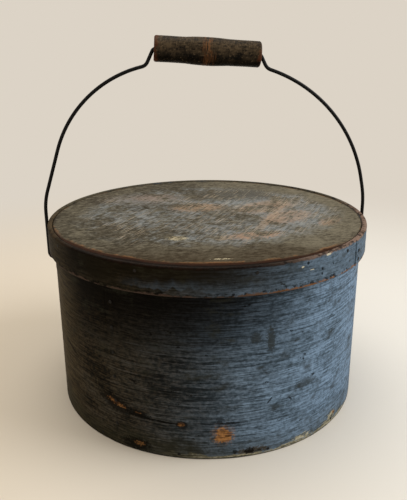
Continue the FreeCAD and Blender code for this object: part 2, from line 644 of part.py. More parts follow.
def make_bail_path(body):
    """One sketch with both halves, constrained by tangents and by the named sizes."""
    halves = {"right": side_path("right", 1), "left": side_path("left", -1)}
    add_shoulder(halves["right"], halves["left"]["corner"], 1)
    add_shoulder(halves["left"], halves["right"]["corner"], -1)
    sketch = new_sketch(body, "XZ_Plane", "bail_path")

    def line(start, end):
        return sketch.addGeometry(Part.LineSegment(Vector(*start, 0), Vector(*end, 0)), False)

    def arc(start, end, centre):
        shape, first, last = arc_between(start, end, centre)
        return sketch.addGeometry(shape, False), first, last

    top = line(halves["left"]["top_end"], halves["right"]["top_end"])
    for name, sign in (("right", 1), ("left", -1)):
        spots = halves[name]
        size = f"Sizes.{name}_"
        foot = line(spots["foot"], spots["foot_end"])
        bend, bend_a, bend_b = arc(spots["foot_end"], spots["leg_low"], spots["bend_centre"])
        leg = line(spots["leg_low"], spots["leg_top"])
        sway, sway_a, sway_b = arc(spots["leg_top"], spots["sway_end"], spots["sway_centre"])
        run = line(spots["sway_end"], spots["run_end"])
        crown, crown_a, crown_b = arc(spots["run_end"], spots["crown_end"],
                                      spots["crown_centre"])
        knee, knee_a, knee_b = arc(spots["crown_end"], spots["riser_end"],
                                   spots["knee_centre"])
        riser = line(spots["riser_end"], spots["riser_top"])
        shoulder, shoulder_a, shoulder_b = arc(spots["riser_top"], spots["top_end"],
                                               spots["shoulder_centre"])
        corner = sketch.addGeometry(Part.Point(Vector(*spots["corner"], 0)), True)
        joins = [(foot, 2, bend, bend_a), (bend, bend_b, leg, 1), (leg, 2, sway, sway_a),
                 (sway, sway_b, run, 1), (run, 2, crown, crown_a),
                 (crown, crown_b, knee, knee_a), (knee, knee_b, riser, 1),
                 (riser, 2, shoulder, shoulder_a),
                 (shoulder, shoulder_b, top, 2 if sign > 0 else 1)]
        for join in joins:
            tie(sketch, "Tangent", *join)
        tie(sketch, "Horizontal", foot)
        tie(sketch, "Vertical", leg)
        tie(sketch, "PointOnObject", corner, 1, riser)
        tie(sketch, "PointOnObject", corner, 1, top)
        bind(sketch, "DistanceX", foot, 1, size=f"{sign} * {PEEN_X}")
        bind(sketch, "DistanceY", foot, 1, size=PIVOT_Z)
        bind(sketch, "Radius", bend, size="Sizes.foot_bend")
        bind(sketch, "DistanceX", leg, 1, size=f"{sign} * {LEG_X}")
        bind(sketch, "DistanceY", leg, 2, size=f"{LID_TOP} + {size}sway_start")
        bind(sketch, "Radius", sway, size=f"{size}sway_radius")
        bind(sketch, "DistanceY", run, 1,
             size=f"{LID_TOP} + {size}sway_start + {size}sway_rise")
        bind(sketch, "Distance", run, size=f"{size}run")
        bind(sketch, "Radius", crown, size=f"{size}crown_radius")
        bind(sketch, "Radius", knee, size=f"{size}knee_radius")
        tilt = "180 - Sizes.riser_slope" if sign > 0 else "Sizes.riser_slope"
        bind_angle(sketch, riser, tilt)
        bind(sketch, "Radius", shoulder, size="Sizes.shoulder_bend")
        bind(sketch, "DistanceX", corner, 1,
             size=f"{sign} * {SEAT_X} + Sizes.grip_shift")
        bind(sketch, "DistanceY", crown, 3, corner, 1,
             size=f"{size}crown_radius + {size}grip_rise")
    doc.recompute()
    return sketch


def bind_angle(sketch, line, degrees):
    """The slope of a line, in degrees from the X axis."""
    index = sketch.addConstraint(
        Sketcher.Constraint("Angle", line, math.radians(number(degrees))))
    sketch.setExpression(f"Constraints[{index}]", f"({degrees}) * 1 deg")


def make_bail_wire():
    body = new_body("bail_wire")
    path = make_bail_path(body)
    section = new_sketch(body, "YZ_Plane", "wire_section", lift=PEEN_X)
    circle(section, "Sizes.wire_radius", y=PIVOT_Z)
    sweep = body.newObject("PartDesign::AdditivePipe", "wire_sweep")
    sweep.Profile = section
    sweep.Spine = (path, [f"Edge{i + 1}" for i in range(len(path.Shape.Edges))])
    doc.recompute()

    # The wire's ends, spread with a hammer over the washers inside the box
    for name, sign in (("right", 1), ("left", -1)):
        sketch = new_sketch(body, "XZ_Plane", f"{name}_peen_profile")
        axis = axis_line(sketch, PIVOT_Z)
        near = f"{sign} * {PEEN_X}"
        lip = f"{sign} * ({PEEN_X} - Sizes.peen_lip)"
        far = f"{sign} * ({PEEN_X} - Sizes.peen_height)"
        rim = f"{PIVOT_Z} + Sizes.peen_radius"
        dome = f"((Sizes.peen_radius ^ 2 + {PEEN_DOME} ^ 2) / (2 * {PEEN_DOME}))"
        points = [(near, PIVOT_Z), (near, rim), (lip, rim), (far, PIVOT_Z)]
        outline(sketch, points, {2: (dome, sign)})
        spin(body, sketch, f"{name}_peen", axis)


# Grip: turned, bored through, a little thicker in the middle, free to turn on the wire
def make_bail_grip():
    body = new_body("bail_grip")
    sketch = new_sketch(body, "XZ_Plane", "grip_profile")
    radius, rounding = "Sizes.grip_end_radius", "Sizes.grip_end_round"
    throat = f"{GRIP_HALF} - Sizes.mouth_depth"
    middle = f"{radius} + Sizes.grip_swell"
    swell = "Sizes.grip_swell_half"
    shoulder = f"{GRIP_HALF} - {rounding}"
    face = f"{radius} - {rounding}"
    bulge = f"(({swell} ^ 2 + Sizes.grip_swell ^ 2) / (2 * Sizes.grip_swell))"
    points = [
        (minus(throat), BORE_R), (throat, BORE_R), (GRIP_HALF, "Sizes.mouth_radius"),
        (GRIP_HALF, face), (shoulder, radius), (swell, radius), (ZERO, middle),
        (minus(swell), radius), (minus(shoulder), radius), (minus(GRIP_HALF), face),
        (minus(GRIP_HALF), "Sizes.mouth_radius"),
    ]
    arcs = {3: (rounding, 1), 5: (bulge, 1), 6: (bulge, 1), 8: (rounding, 1)}
    outline(sketch, points, arcs)
    spin(body, sketch, "grip_turning", (datum(body, "X_Axis"), [""]))
    body.Placement = Placement(Vector(0, 0, 0), Rotation(Vector(0, 1, 0), 1))
    body.setExpression("Placement.Base.x", "Sizes.grip_shift")
    body.setExpression("Placement.Base.z", GRIP_MIDDLE)
    body.setExpression("Placement.Rotation.Angle", f"atan({GRIP_DROP} / (2 * {SEAT_X}))")
    doc.recompute()
    along = body.Placement.Rotation.multVec(Vector(1, 0, 0))
    print("grip axis", [round(v, 6) for v in along],
          "through", [round(v, 4) for v in body.Placement.Base])


def check_and_export():
    """Stops on any failed feature, then writes each sub-part to its own file."""
    doc.recompute()
    for item in doc.Objects:
        if any(word in item.State for word in ("Invalid", "Error")):
            raise RuntimeError(f"{item.Label} failed: {item.State}")
    bodies = [item for item in doc.Objects if item.TypeId == "PartDesign::Body"]
    os.makedirs("parts", exist_ok=True)
    for body in bodies:
        shape = body.Shape
        if shape.isNull() or not shape.isValid():
            raise RuntimeError(f"{body.Label} has no valid shape")
    for body in bodies:
        shape = body.Shape
        shape.exportStep(f"parts/{body.Label}.step")
        box = shape.BoundBox
        print(f"{body.Label}: {len(shape.Solids)} solid(s), {shape.Volume:.1f} mm3, "
              f"x {box.XMin:.2f}..{box.XMax:.2f} y {box.YMin:.2f}..{box.YMax:.2f} "
              f"z {box.ZMin:.2f}..{box.ZMax:.2f}")


make_box_side()
make_bottom_board()
make_lid_band()
make_lid_board()
make_fasteners()
for ear, mirrored in (("right", False), ("left", True)):
    make_ear_plate(ear, mirrored)
    make_burr(ear, mirrored)
make_bail_wire()
make_bail_grip()
print("lid top", number(LID_TOP), "pivot height", number(PIVOT_Z))
check_and_export()
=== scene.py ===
# %% [markdown]
# # A round bentwood pantry box
#
# This lesson dresses a finished CAD model of an old painted pantry box: a drum of thin bent
# wood, a lid that drops over it, a wire bail and a turned grip. The CAD solids are exact but
# bare. Here each piece gets a finer mesh, with the unevenness of handwork in it, and a finish
# of worn paint, bare wood or dark iron. Lengths are in metres, and +Z is up.

# %% Load the solids
import cmath
import math

import bpy
import numpy as np
from mathutils import Matrix, Vector


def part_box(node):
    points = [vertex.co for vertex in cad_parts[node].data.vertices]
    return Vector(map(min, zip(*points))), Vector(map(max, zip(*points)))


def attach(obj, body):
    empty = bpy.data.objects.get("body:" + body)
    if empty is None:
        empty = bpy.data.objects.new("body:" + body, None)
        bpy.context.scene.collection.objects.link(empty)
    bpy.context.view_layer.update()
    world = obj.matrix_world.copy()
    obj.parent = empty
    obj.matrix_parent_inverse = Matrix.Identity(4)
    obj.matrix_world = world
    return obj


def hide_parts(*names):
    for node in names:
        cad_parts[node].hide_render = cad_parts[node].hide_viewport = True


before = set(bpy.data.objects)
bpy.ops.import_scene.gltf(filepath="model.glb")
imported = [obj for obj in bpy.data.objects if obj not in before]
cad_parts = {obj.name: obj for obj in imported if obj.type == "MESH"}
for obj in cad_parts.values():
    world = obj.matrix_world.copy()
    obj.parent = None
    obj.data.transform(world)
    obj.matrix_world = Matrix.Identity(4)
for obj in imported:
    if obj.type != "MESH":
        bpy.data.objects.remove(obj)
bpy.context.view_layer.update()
scene = bpy.context.scene
MM = 0.001

# %% [markdown]
# ## The camera
#
# The camera comes first, because every later choice is judged through it. A camera can be
# placed by hand until it looks right, or worked out from the ellipse of the lid, the foot of
# the box and the line of the table. It was worked out here, so only the results are needed:
# where it stands, where it looks, and its focal length in pixels of the picture.

# %% Camera
PICTURE_HEIGHT, FOCAL_PIXELS, SENSOR = 500, 624.2, 36
CAMERA_PLACE = Vector((-0.0481, -0.6125, 0.3548))
HEADING, DOWN, ROLL = (math.radians(v) for v in (4.14, 19.02, -0.32))


def make_camera():
    level = Vector((math.cos(HEADING), -math.sin(HEADING), 0))
    ahead = Vector((math.sin(HEADING), math.cos(HEADING), 0))
    forward = ahead * math.cos(DOWN) - Vector((0, 0, math.sin(DOWN)))
    upright = level.cross(forward)
    right = level * math.cos(ROLL) + upright * math.sin(ROLL)
    up = upright * math.cos(ROLL) - level * math.sin(ROLL)
    data = bpy.data.cameras.new("photo_camera")
    data.sensor_width = SENSOR
    data.lens = FOCAL_PIXELS * SENSOR / PICTURE_HEIGHT
    camera = bpy.data.objects.new("photo_camera", data)
    turn = Matrix((right, up, -forward)).transposed().to_4x4()
    camera.matrix_world = Matrix.Translation(CAMERA_PLACE) @ turn
    scene.collection.objects.link(camera)
    scene.camera = camera
    print("lens", round(data.lens, 2), "mm")


make_camera()

# %% [markdown]
# ## Helpers for nodes
#
# Every finish below is a small network of nodes. Writing each node out takes many lines, so
# this class adds a node, joins its inputs and hands back its outputs. Most grain, streaks and
# scratches are a noise read at a stretched place, which draws it out into lines. Colours are
# given as they look on a screen, from 0 to 255, and turned to the linear values of light.


# %% Node helpers
def paint(red, green, blue):
    """A screen colour as linear values."""
    shares = [v / 255 for v in (red, green, blue)]
    return [v / 12.92 if v <= 0.04045 else ((v + 0.055) / 1.055) ** 2.4 for v in shares] + [1]


class Nodes:
    """A tree of nodes, and the place at which its noises are read."""

    def __init__(self, tree, place=None):
        self.tree, self.place = tree, place

    def add(self, kind, inputs=None, **settings):
        node = self.tree.nodes.new(kind)
        for key, value in settings.items():
            setattr(node, key, value)
        for key, value in (inputs or {}).items():
            if isinstance(value, bpy.types.NodeSocket):
                self.tree.links.new(value, node.inputs[key])
            else:
                node.inputs[key].default_value = value
        return node.outputs

    def calc(self, operation, *values):
        return self.add("ShaderNodeMath", dict(enumerate(values)), operation=operation)[0]

    def times(self, first, *others):
        for value in others:
            first = self.calc("MULTIPLY", first, value)
        return first

    def vector(self, operation, *values):
        outputs = self.add("ShaderNodeVectorMath", dict(enumerate(values)), operation=operation)
        return outputs["Value" if operation in ("LENGTH", "DOT_PRODUCT") else "Vector"]

    def blend(self, share, low, high):
        """Colour low where share is 0, colour high where it is 1."""
        return self.add("ShaderNodeMix", {0: share, 6: low, 7: high}, data_type="RGBA")[2]

    def between(self, value, low, high, smooth=True):
        """0 below low, 1 above high, and a soft step between. low may be the larger one."""
        kind = "SMOOTHSTEP" if smooth else "LINEAR"
        inputs = {"Value": value, "From Min": low, "From Max": high}
        return self.add("ShaderNodeMapRange", inputs, interpolation_type=kind)[0]

    def ramp(self, tone, dark, light):
        return self.blend(self.between(tone, 0.0, 1.0), dark, light)

    def stretch(self, scales, turn=0.0, shift=0.0):
        """The place squeezed, so that a noise is drawn out along the smaller scales."""
        place = self.place
        if turn:
            turned = {"Vector": place, "Rotation": (0, 0, math.radians(turn))}
            place = self.add("ShaderNodeMapping", turned)[0]
        inputs = {"Vector": place, "Scale": scales, "Location": (shift,) * 3}
        return self.add("ShaderNodeMapping", inputs)[0]

    def noise(self, scales, detail, rough, distort=0.0, turn=0.0, shift=0.0):
        """A cloudy value about 0.5, at one scale or at a scale for each axis."""
        if isinstance(scales, tuple):
            inputs = {"Vector": self.stretch(scales, turn, shift), "Scale": 1.0}
        else:
            inputs = {"Vector": self.place, "Scale": scales}
        inputs.update({"Detail": detail, "Roughness": rough, "Distortion": distort})
        return self.add("ShaderNodeTexNoise", inputs)[0]

    def scatter(self, start, *pairs):
        """start, pushed up and down by each noise according to its weight."""
        for value, weight in pairs:
            start = self.calc("ADD", start, self.calc("MULTIPLY_ADD", value, weight, -weight / 2))
        return start


print("a milky blue as light", [round(v, 3) for v in paint(120, 144, 170)])

# %% [markdown]
# ## A finish as coats of colour
#
# A real old finish is a stack: ground, paint, dirt, wear. So a finish here starts from one
# colour and covers it coat by coat, each with a share that says where it lies. The class also
# measures the places that wear depends on: the height, the distance from the box's middle line
# and the side that a place faces.


# %% Finish helper
class Finish(Nodes):
    """A material, the places on the object, and the colour laid on it so far."""

    def __init__(self, name, roughness):
        self.material = bpy.data.materials.new(name)
        self.material.use_nodes = True
        super().__init__(self.material.node_tree)
        self.shader = self.tree.nodes["Principled BSDF"]
        self.shader.inputs["Roughness"].default_value = roughness
        self.place = self.add("ShaderNodeTexCoord")["Object"]
        self.x, self.y, self.z = self.add("ShaderNodeSeparateXYZ", {0: self.place})
        flat = self.vector("MULTIPLY", self.place, (1, 1, 0))
        self.reach, self.way = self.vector("LENGTH", flat), self.vector("NORMALIZE", flat)

    def facing(self, degrees):
        """-1 to 1: how far round the box a place is towards an angle."""
        angle = math.radians(degrees)
        return self.vector("DOT_PRODUCT", self.way, (math.cos(angle), math.sin(angle), 0))

    def lay(self, share, amount, under, over):
        """Covers one colour with another, by a share and at most by an amount."""
        return self.blend(self.times(share, amount), under, over)

    def coat(self, share, amount, over):
        """Covers the colour so far."""
        self.colour = self.lay(share, amount, self.colour, over)

    def close(self, height, depth, specular, roughness=None):
        """Joins the colour and the gloss to the shader, and a height as bumps of real depth."""
        into = self.shader.inputs
        self.tree.links.new(self.colour, into["Base Color"])
        if roughness:
            self.tree.links.new(roughness, into["Roughness"])
        into["Specular IOR Level"].default_value = specular
        inputs = {"Height": height, "Distance": depth, "Strength": 1.0}
        self.tree.links.new(self.add("ShaderNodeBump", inputs)[0], into["Normal"])
        print(self.material.name, len(self.tree.nodes), "nodes")


print("a finish can", [name for name in vars(Finish) if name[0] != "_"])

# %% [markdown]
# ## The floor and the light
#
# The box stands on a pale floor that fades into a pale background, so the floor has no
# edge from any side. The floor is a little warmer and darker at the left: painted shade.
# The room's even light comes from the world, and one large lamp at the upper right makes the
# right side of the drum brighter than the left. The background colour is only for what the
# camera sees, straight or by way of a gloss or a glass. All other rays get the warm light of
# the room.

# %% Floor, background and lamps
BACKGROUND = paint(220, 211, 198)
FLOOR_SHADED_LEFT, FLOOR_RIGHT = paint(218, 207, 190), paint(219, 217, 212)
ROOM_LIGHT, ROOM_STRENGTH = (1, 0.92, 0.80, 1), 0.64
FLOOR_RADIUS = 4


def seen_directly(nodes):
    """1 for rays from the camera, and for those that come by way of a gloss or a glass."""
    rays = nodes.add("ShaderNodeLightPath")
    glossy = nodes.calc("MAXIMUM", rays["Is Glossy Ray"], rays["Is Transmission Ray"])
    return nodes.calc("MAXIMUM", rays["Is Camera Ray"], glossy)


def make_floor():
    bpy.ops.mesh.primitive_circle_add(vertices=128, radius=FLOOR_RADIUS, fill_type="NGON")
    floor = bpy.context.object
    floor.name = "floor"
    pale = Finish("pale_floor", 0.7)
    # painted shade: the floor's colour turns warmer and darker towards the left
    tone = pale.blend(pale.between(pale.x, -0.32, 0.3), FLOOR_SHADED_LEFT, FLOOR_RIGHT)
    pale.tree.links.new(tone, pale.shader.inputs["Base Color"])
    pale.shader.inputs["Specular IOR Level"].default_value = 0.15
    share = pale.times(pale.between(pale.reach, 0.25, 0.95), seen_directly(pale))
    glow = pale.add("ShaderNodeEmission", {"Color": BACKGROUND})[0]
    mixed = pale.add("ShaderNodeMixShader", {0: share, 1: pale.shader.outputs[0], 2: glow})[0]
    pale.tree.links.new(mixed, pale.tree.nodes["Material Output"].inputs[0])
    floor.data.materials.append(pale.material)


def make_world():
    world = bpy.data.worlds.new("room")
    scene.world = world
    world.use_nodes = True
    room = Nodes(world.node_tree)
    room.tree.nodes.clear()
    light = room.add("ShaderNodeBackground", {"Color": ROOM_LIGHT, "Strength": ROOM_STRENGTH})[0]
    wall = room.add("ShaderNodeBackground", {"Color": BACKGROUND})[0]
    mixed = room.add("ShaderNodeMixShader", {0: seen_directly(room), 1: light, 2: wall})[0]
    room.add("ShaderNodeOutputWorld", {"Surface": mixed})


def make_lamp(name, place, target, size, power, colour):
    data = bpy.data.lights.new(name, "AREA")
    data.shape, data.size, data.energy, data.color = "DISK", size, power, colour
    lamp = bpy.data.objects.new(name, data)
    lamp.location = place
    lamp.rotation_euler = (Vector(target) - Vector(place)).to_track_quat("-Z", "Y").to_euler()
    scene.collection.objects.link(lamp)
    print(name, "lamp", power, "W")


make_floor()
make_world()
make_lamp("window", (1.5, -0.35, 1.25), (0, 0, 0.12), 1.3, 23.5, (0.98, 0.99, 1))
make_lamp("ceiling", (-0.2, 0.3, 2.0), (0, 0, 0.1), 1.4, 13, (1, 0.97, 0.92))
scene.view_settings.view_transform = "Standard"

# %% [markdown]
# ## Sizes of the real pieces
#
# The hoops and boards are drawn again here from a few sizes of the real box, so that their
# meshes can carry relief. The CAD solids stay the measure: each new piece is held inside the
# box of the solid that it stands for, and the next cell prints both to compare them.

# %% Sizes
LID_RADIUS, BAND_WALL = 158.75 * MM, 4.6 * MM
SIDE_RADIUS, SIDE_WALL = 153.55 * MM, 4.5 * MM
BAND_LOW, LID_TOP = 157.0 * MM, 182.0 * MM
SIDE_HEIGHT, BASE_THICK, BASE_RADIUS = 172.1 * MM, 9.0 * MM, 148.95 * MM
BOARD_LOW, BOARD_TOP, BOARD_RADIUS = 172.2 * MM, 181.2 * MM, 153.65 * MM
SIDE_SEAM, BAND_SEAM = math.radians(231), math.radians(322.5)
SIDE_STEP, BAND_STEP = 0.25 * MM, 0.8 * MM
PIVOT_HEIGHT, PIVOT_HOLE, DRILL_LENGTH = 140.0 * MM, 1.85 * MM, 0.4
for node, radius in (("box_side", SIDE_RADIUS), ("lid_band", LID_RADIUS)):
    _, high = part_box(node)
    print(node, "solid reaches", [round(v / MM, 2) for v in high], "drawn", radius / MM)

# %% [markdown]
# ## Meshes that close on themselves
#
# A hoop and a bored grip are both rings: one outline carried round until it meets itself. A
# board and a tack are closed by a point at both ends of the outline instead. Blender's Spin and
# Screw tools make both, but a grid of points worked out with numpy lets each point move on its
# own, which is what handmade unevenness needs. The functions take a grid of points, the
# outlines one after another, and join neighbours with four-cornered faces.


# %% Turned meshes
def finish_mesh(name, points, faces, material, smooth):
    """Makes an object, turns its faces outwards and shades it smoothly except at edges."""
    mesh = bpy.data.meshes.new(name)
    mesh.from_pydata([tuple(p) for p in points], [], [tuple(f) for f in faces])
    mesh.validate()
    piece = bpy.data.objects.new(name, mesh)
    scene.collection.objects.link(piece)
    bpy.context.view_layer.objects.active = piece
    bpy.ops.object.mode_set(mode="EDIT")
    bpy.ops.mesh.select_all(action="SELECT")
    bpy.ops.mesh.normals_make_consistent(inside=False)
    bpy.ops.object.mode_set(mode="OBJECT")
    mesh.shade_smooth()
    mesh.set_sharp_from_angle(angle=math.radians(smooth))
    if material:
        mesh.materials.append(material)
    return piece


def ring_faces(outlines, corners):
    i, j = np.arange(outlines)[:, None], np.arange(corners)[None, :]
    ahead, beside = (i + 1) % outlines, (j + 1) % corners
    grid = [i * corners + j, ahead * corners + j, ahead * corners + beside, i * corners + beside]
    return np.stack([np.broadcast_to(g, (outlines, corners)) for g in grid], -1).reshape(-1, 4)


def ring_piece(name, grid, material, smooth=60):
    """grid holds the outlines one after another: outline, corner, and x, y, z."""
    outlines, corners, _ = grid.shape
    return finish_mesh(name, grid.reshape(-1, 3), ring_faces(outlines, corners), material, smooth)


def capped_piece(name, grid, first, last, material, smooth=60):
    """Outlines joined at their first corner by one point and at their last by another."""
    outlines, corners, _ = grid.shape
    start, end = outlines * corners, outlines * corners + 1
    faces = []
    for i in range(outlines):
        a, b = i * corners, (i + 1) % outlines * corners
        faces.append((a, b, start))
        faces.extend((a + j, a + j + 1, b + j + 1, b + j) for j in range(corners - 1))
        faces.append((a + corners - 1, end, b + corners - 1))
    points = np.concatenate([grid.reshape(-1, 3), [first, last]])
    return finish_mesh(name, points, faces, material, smooth)


print("a ring of 3 outlines with 4 corners has", len(ring_faces(3, 4)), "faces")

# %% [markdown]
# ## Handmade unevenness
#
# Bent and planed wood is never quite true. Adding a few dozen cosine waves with random
# directions gives a soft relief that closes on itself round the hoop, because each wave fits a
# whole number of times. The relief is only ever taken off the surface, never added, so a piece
# can't grow into its neighbour. One seed for each piece keeps every run the same.


# %% Relief by waves
def waves(seed, angle, height, count, turns, lengths):
    """Soft ripples over angle and height, from -1 to 1 or so. turns and lengths are ranges."""
    chance = np.random.default_rng(seed)
    total = np.zeros(np.broadcast(angle, height).shape)
    for _ in range(count):
        times = int(chance.integers(*turns))
        pitch = 2 * math.pi / chance.uniform(*lengths) * chance.choice((-1, 1))
        total += np.cos(times * angle + pitch * height + chance.uniform(0, 2 * math.pi))
    return total / math.sqrt(count)


def wood_relief(seed, angle, height, bow, grain=0.05 * MM):
    """Bows of the thin wood and ridges of its grain, both taken off the surface."""
    slow = waves(seed, angle, height, 12, (2, 8), (150 * MM, 600 * MM))
    ridges = waves(seed + 1, angle, height, 60, (1, 40), (4 * MM, 14 * MM))
    total = bow * slow + grain * ridges
    return total - total.max()


sample = wood_relief(1, np.linspace(0, 2 * math.pi, 1000), 0, 0.1 * MM)
print("relief from", round(sample.min() / MM, 2), "to", round(sample.max() / MM, 2), "mm")

# %% [markdown]
# ## The bent hoops
#
# The drum and the lid's band are strips of wood, steamed, bent and tacked where the ends lap.
# At the lap the outer end stands proud and fades back across the overlap, and a narrow groove
# runs down its edge. A bent strip could be made with a Simple Deform modifier, but its lap
# would need cutting by hand, so the outline is carried round by angle instead.

# %% Hoop builder
FLANK, HOOP_TURNS = 0.9 * MM, 720
EDGE_DROP = 0.3  # share of the lap's rise by which its very edge is worn down


def lap_step(turned, radius, lap, rise, groove):
    """How far the surface stands out or in, by the angle turned past the lap's edge."""
    share = np.clip(turned / math.asin(lap / radius), 0, 1)
    back = 2 * math.pi - turned
    return rise * (1 - share) ** 2 - groove * np.clip(1 - back / (FLANK / radius), 0, 1)


def hoop(name, material, radius, wall, low, high, seam, lap, rise, groove, seed, bow, top_round,
         foot_round, rows):
    turned = np.concatenate([[0, 0.001, 0.004],
                             np.linspace(0.01, 2 * math.pi - FLANK / radius, HOOP_TURNS),
                             [2 * math.pi - 0.0004]])
    face = lap_step(turned, radius, lap, rise, groove)
    face[0] -= rise * EDGE_DROP
    quarter = np.linspace(0, math.pi / 2, 5)
    inset = np.concatenate([foot_round * (1 - np.sin(quarter)), np.zeros(rows),
                            top_round * (1 - np.cos(quarter))])
    levels = np.concatenate([low + foot_round * (1 - np.cos(quarter)),
                             np.linspace(low + foot_round, high - top_round, rows + 2)[1:-1],
                             high - top_round * (1 - np.sin(quarter))])
    angle = (seam + turned)[:, None]
    outer = radius + face[:, None] - inset[None, :]
    outer = outer + wood_relief(seed, angle, levels[None, :], bow)
    bevel, margin = 0.5 * MM, 8 * MM
    inner_levels = np.concatenate([[high, high - bevel],
                                   np.linspace(high - margin, low + margin, 8),
                                   [low + bevel, low]])
    inner_inset = np.zeros(len(inner_levels))
    inner_inset[[0, -1]] = bevel
    inner = np.repeat((radius - wall + inner_inset)[None, :], len(turned), 0)
    reach = np.concatenate([outer, inner], 1)
    level = np.repeat(np.concatenate([levels, inner_levels])[None, :], len(turned), 0)
    grid = np.stack([reach * np.cos(angle), reach * np.sin(angle), level], -1)
    return ring_piece(name, grid, material)


print("the drum's groove is", lap_step(2 * math.pi, SIDE_RADIUS, 63 * MM, SIDE_STEP, 0.3 * MM) / MM)

# %% [markdown]
# ## The finish of worn paint
#
# The drum is painted a thin milky blue over a darker, brown-black ground. Handling has rubbed
# the paint unevenly: streaks follow the grain, grime gathers on one side and under the lid,
# with painted shade there as well, and the wood shows along the edges. An image could hold
# this, but a network of noises is sharp at any distance and needs no unwrapping. The grain is
# a noise squeezed upwards and drawn out sideways, so its lines run round the drum.
#
# Single marks, such as a knot or a scrape, come from one small node group used many times. It
# measures how far a place is from the mark's middle, along the mark and across it. On a round
# wall the place is unrolled first, so that a long crack follows the curve.


# %% Marks
def make_mark_group():
    group = bpy.data.node_groups.new("mark", "ShaderNodeTree")
    for name in ("Place", "Middle", "Along"):
        group.interface.new_socket(name, in_out="INPUT", socket_type="NodeSocketVector")
    for name in ("Half length", "Half width", "Ragged"):
        group.interface.new_socket(name, in_out="INPUT", socket_type="NodeSocketFloat")
    group.interface.new_socket("Share", in_out="OUTPUT", socket_type="NodeSocketFloat")
    given = group.nodes.new("NodeGroupInput").outputs
    result = group.nodes.new("NodeGroupOutput").inputs[0]
    nodes = Nodes(group, given["Place"])
    away = nodes.vector("SUBTRACT", given["Place"], given["Middle"])
    along = nodes.vector("DOT_PRODUCT", away, given["Along"])
    length = nodes.vector("LENGTH", away)
    square = nodes.calc("SUBTRACT", nodes.times(length, length), nodes.times(along, along))
    across = nodes.calc("SQRT", nodes.calc("MAXIMUM", square, 0.0))
    one = nodes.calc("ABSOLUTE", nodes.calc("DIVIDE", along, given["Half length"]))
    two = nodes.calc("DIVIDE", across, given["Half width"])
    far = nodes.calc("ADD", nodes.calc("POWER", one, 2.0), nodes.calc("POWER", two, 2.0))
    torn = nodes.calc("SUBTRACT", nodes.noise(420, 4, 0.7), 0.5)
    far = nodes.calc("ADD", nodes.calc("SQRT", far), nodes.times(torn, given["Ragged"]))
    group.links.new(nodes.between(far, 1.15, 0.7), result)
    print("mark group", len(group.nodes), "nodes")
    return group


MARK = make_mark_group()


def mark(finish, place, middle, slope, half_length, half_width, ragged):
    along = (math.cos(math.radians(slope)), math.sin(math.radians(slope)), 0)
    inputs = {"Place": place, "Middle": middle, "Along": along, "Half length": half_length * MM,
              "Half width": half_width * MM, "Ragged": ragged}
    return finish.add("ShaderNodeGroup", inputs, node_tree=MARK)[0]


def lay_wall_marks(wall, radius, rows, tones, patchy=1.0):
    """Lays rows of marks on a round wall that is unrolled: distance round it, then height."""
    angle = wall.calc("ARCTAN2", wall.y, wall.x)
    flat = wall.add("ShaderNodeCombineXYZ", {0: wall.times(angle, radius), 1: wall.z})[0]
    for degrees, height, half_length, half_width, ragged, slope, tone, share in rows:
        middle = (radius * math.radians(degrees), height * MM, 0)
        spot = mark(wall, flat, middle, slope, half_length, half_width, ragged)
        wall.coat(wall.times(spot, patchy), share, tones[tone])


# %% [markdown]
# ### Paint on a round wall
#
# The same paint is on the drum and on the band, so one function makes both finishes. It lays
# the colours in the order of the real layers: ground, blue paint in streaks, soot and grime,
# then blots and spots. Less blue is left at the left than at the right, partly as grime and
# partly as painted shade on the side away from the lamp. The soot there and a dark line under
# the band are partly painted shade too. At the far left, painted light picks out the bare
# threads of the grain.

# %% Painted wall
OLIVE_GROUND, BLACK_GROUND = paint(62, 50, 31), paint(7, 5, 3)
BLUE_DARK, BLUE_LIGHT = paint(60, 74, 86), paint(120, 144, 170)
SMUDGE, CREAM = paint(38, 38, 30), paint(196, 190, 168)
BARE_BROWN, BARE_ORANGE = paint(92, 60, 34), paint(166, 120, 74)
PALE_DARK, PALE_LIGHT = paint(104, 98, 72), paint(184, 176, 148)
INSIDE_WOOD, INSIDE_DARK = paint(158, 122, 82), paint(112, 80, 50)


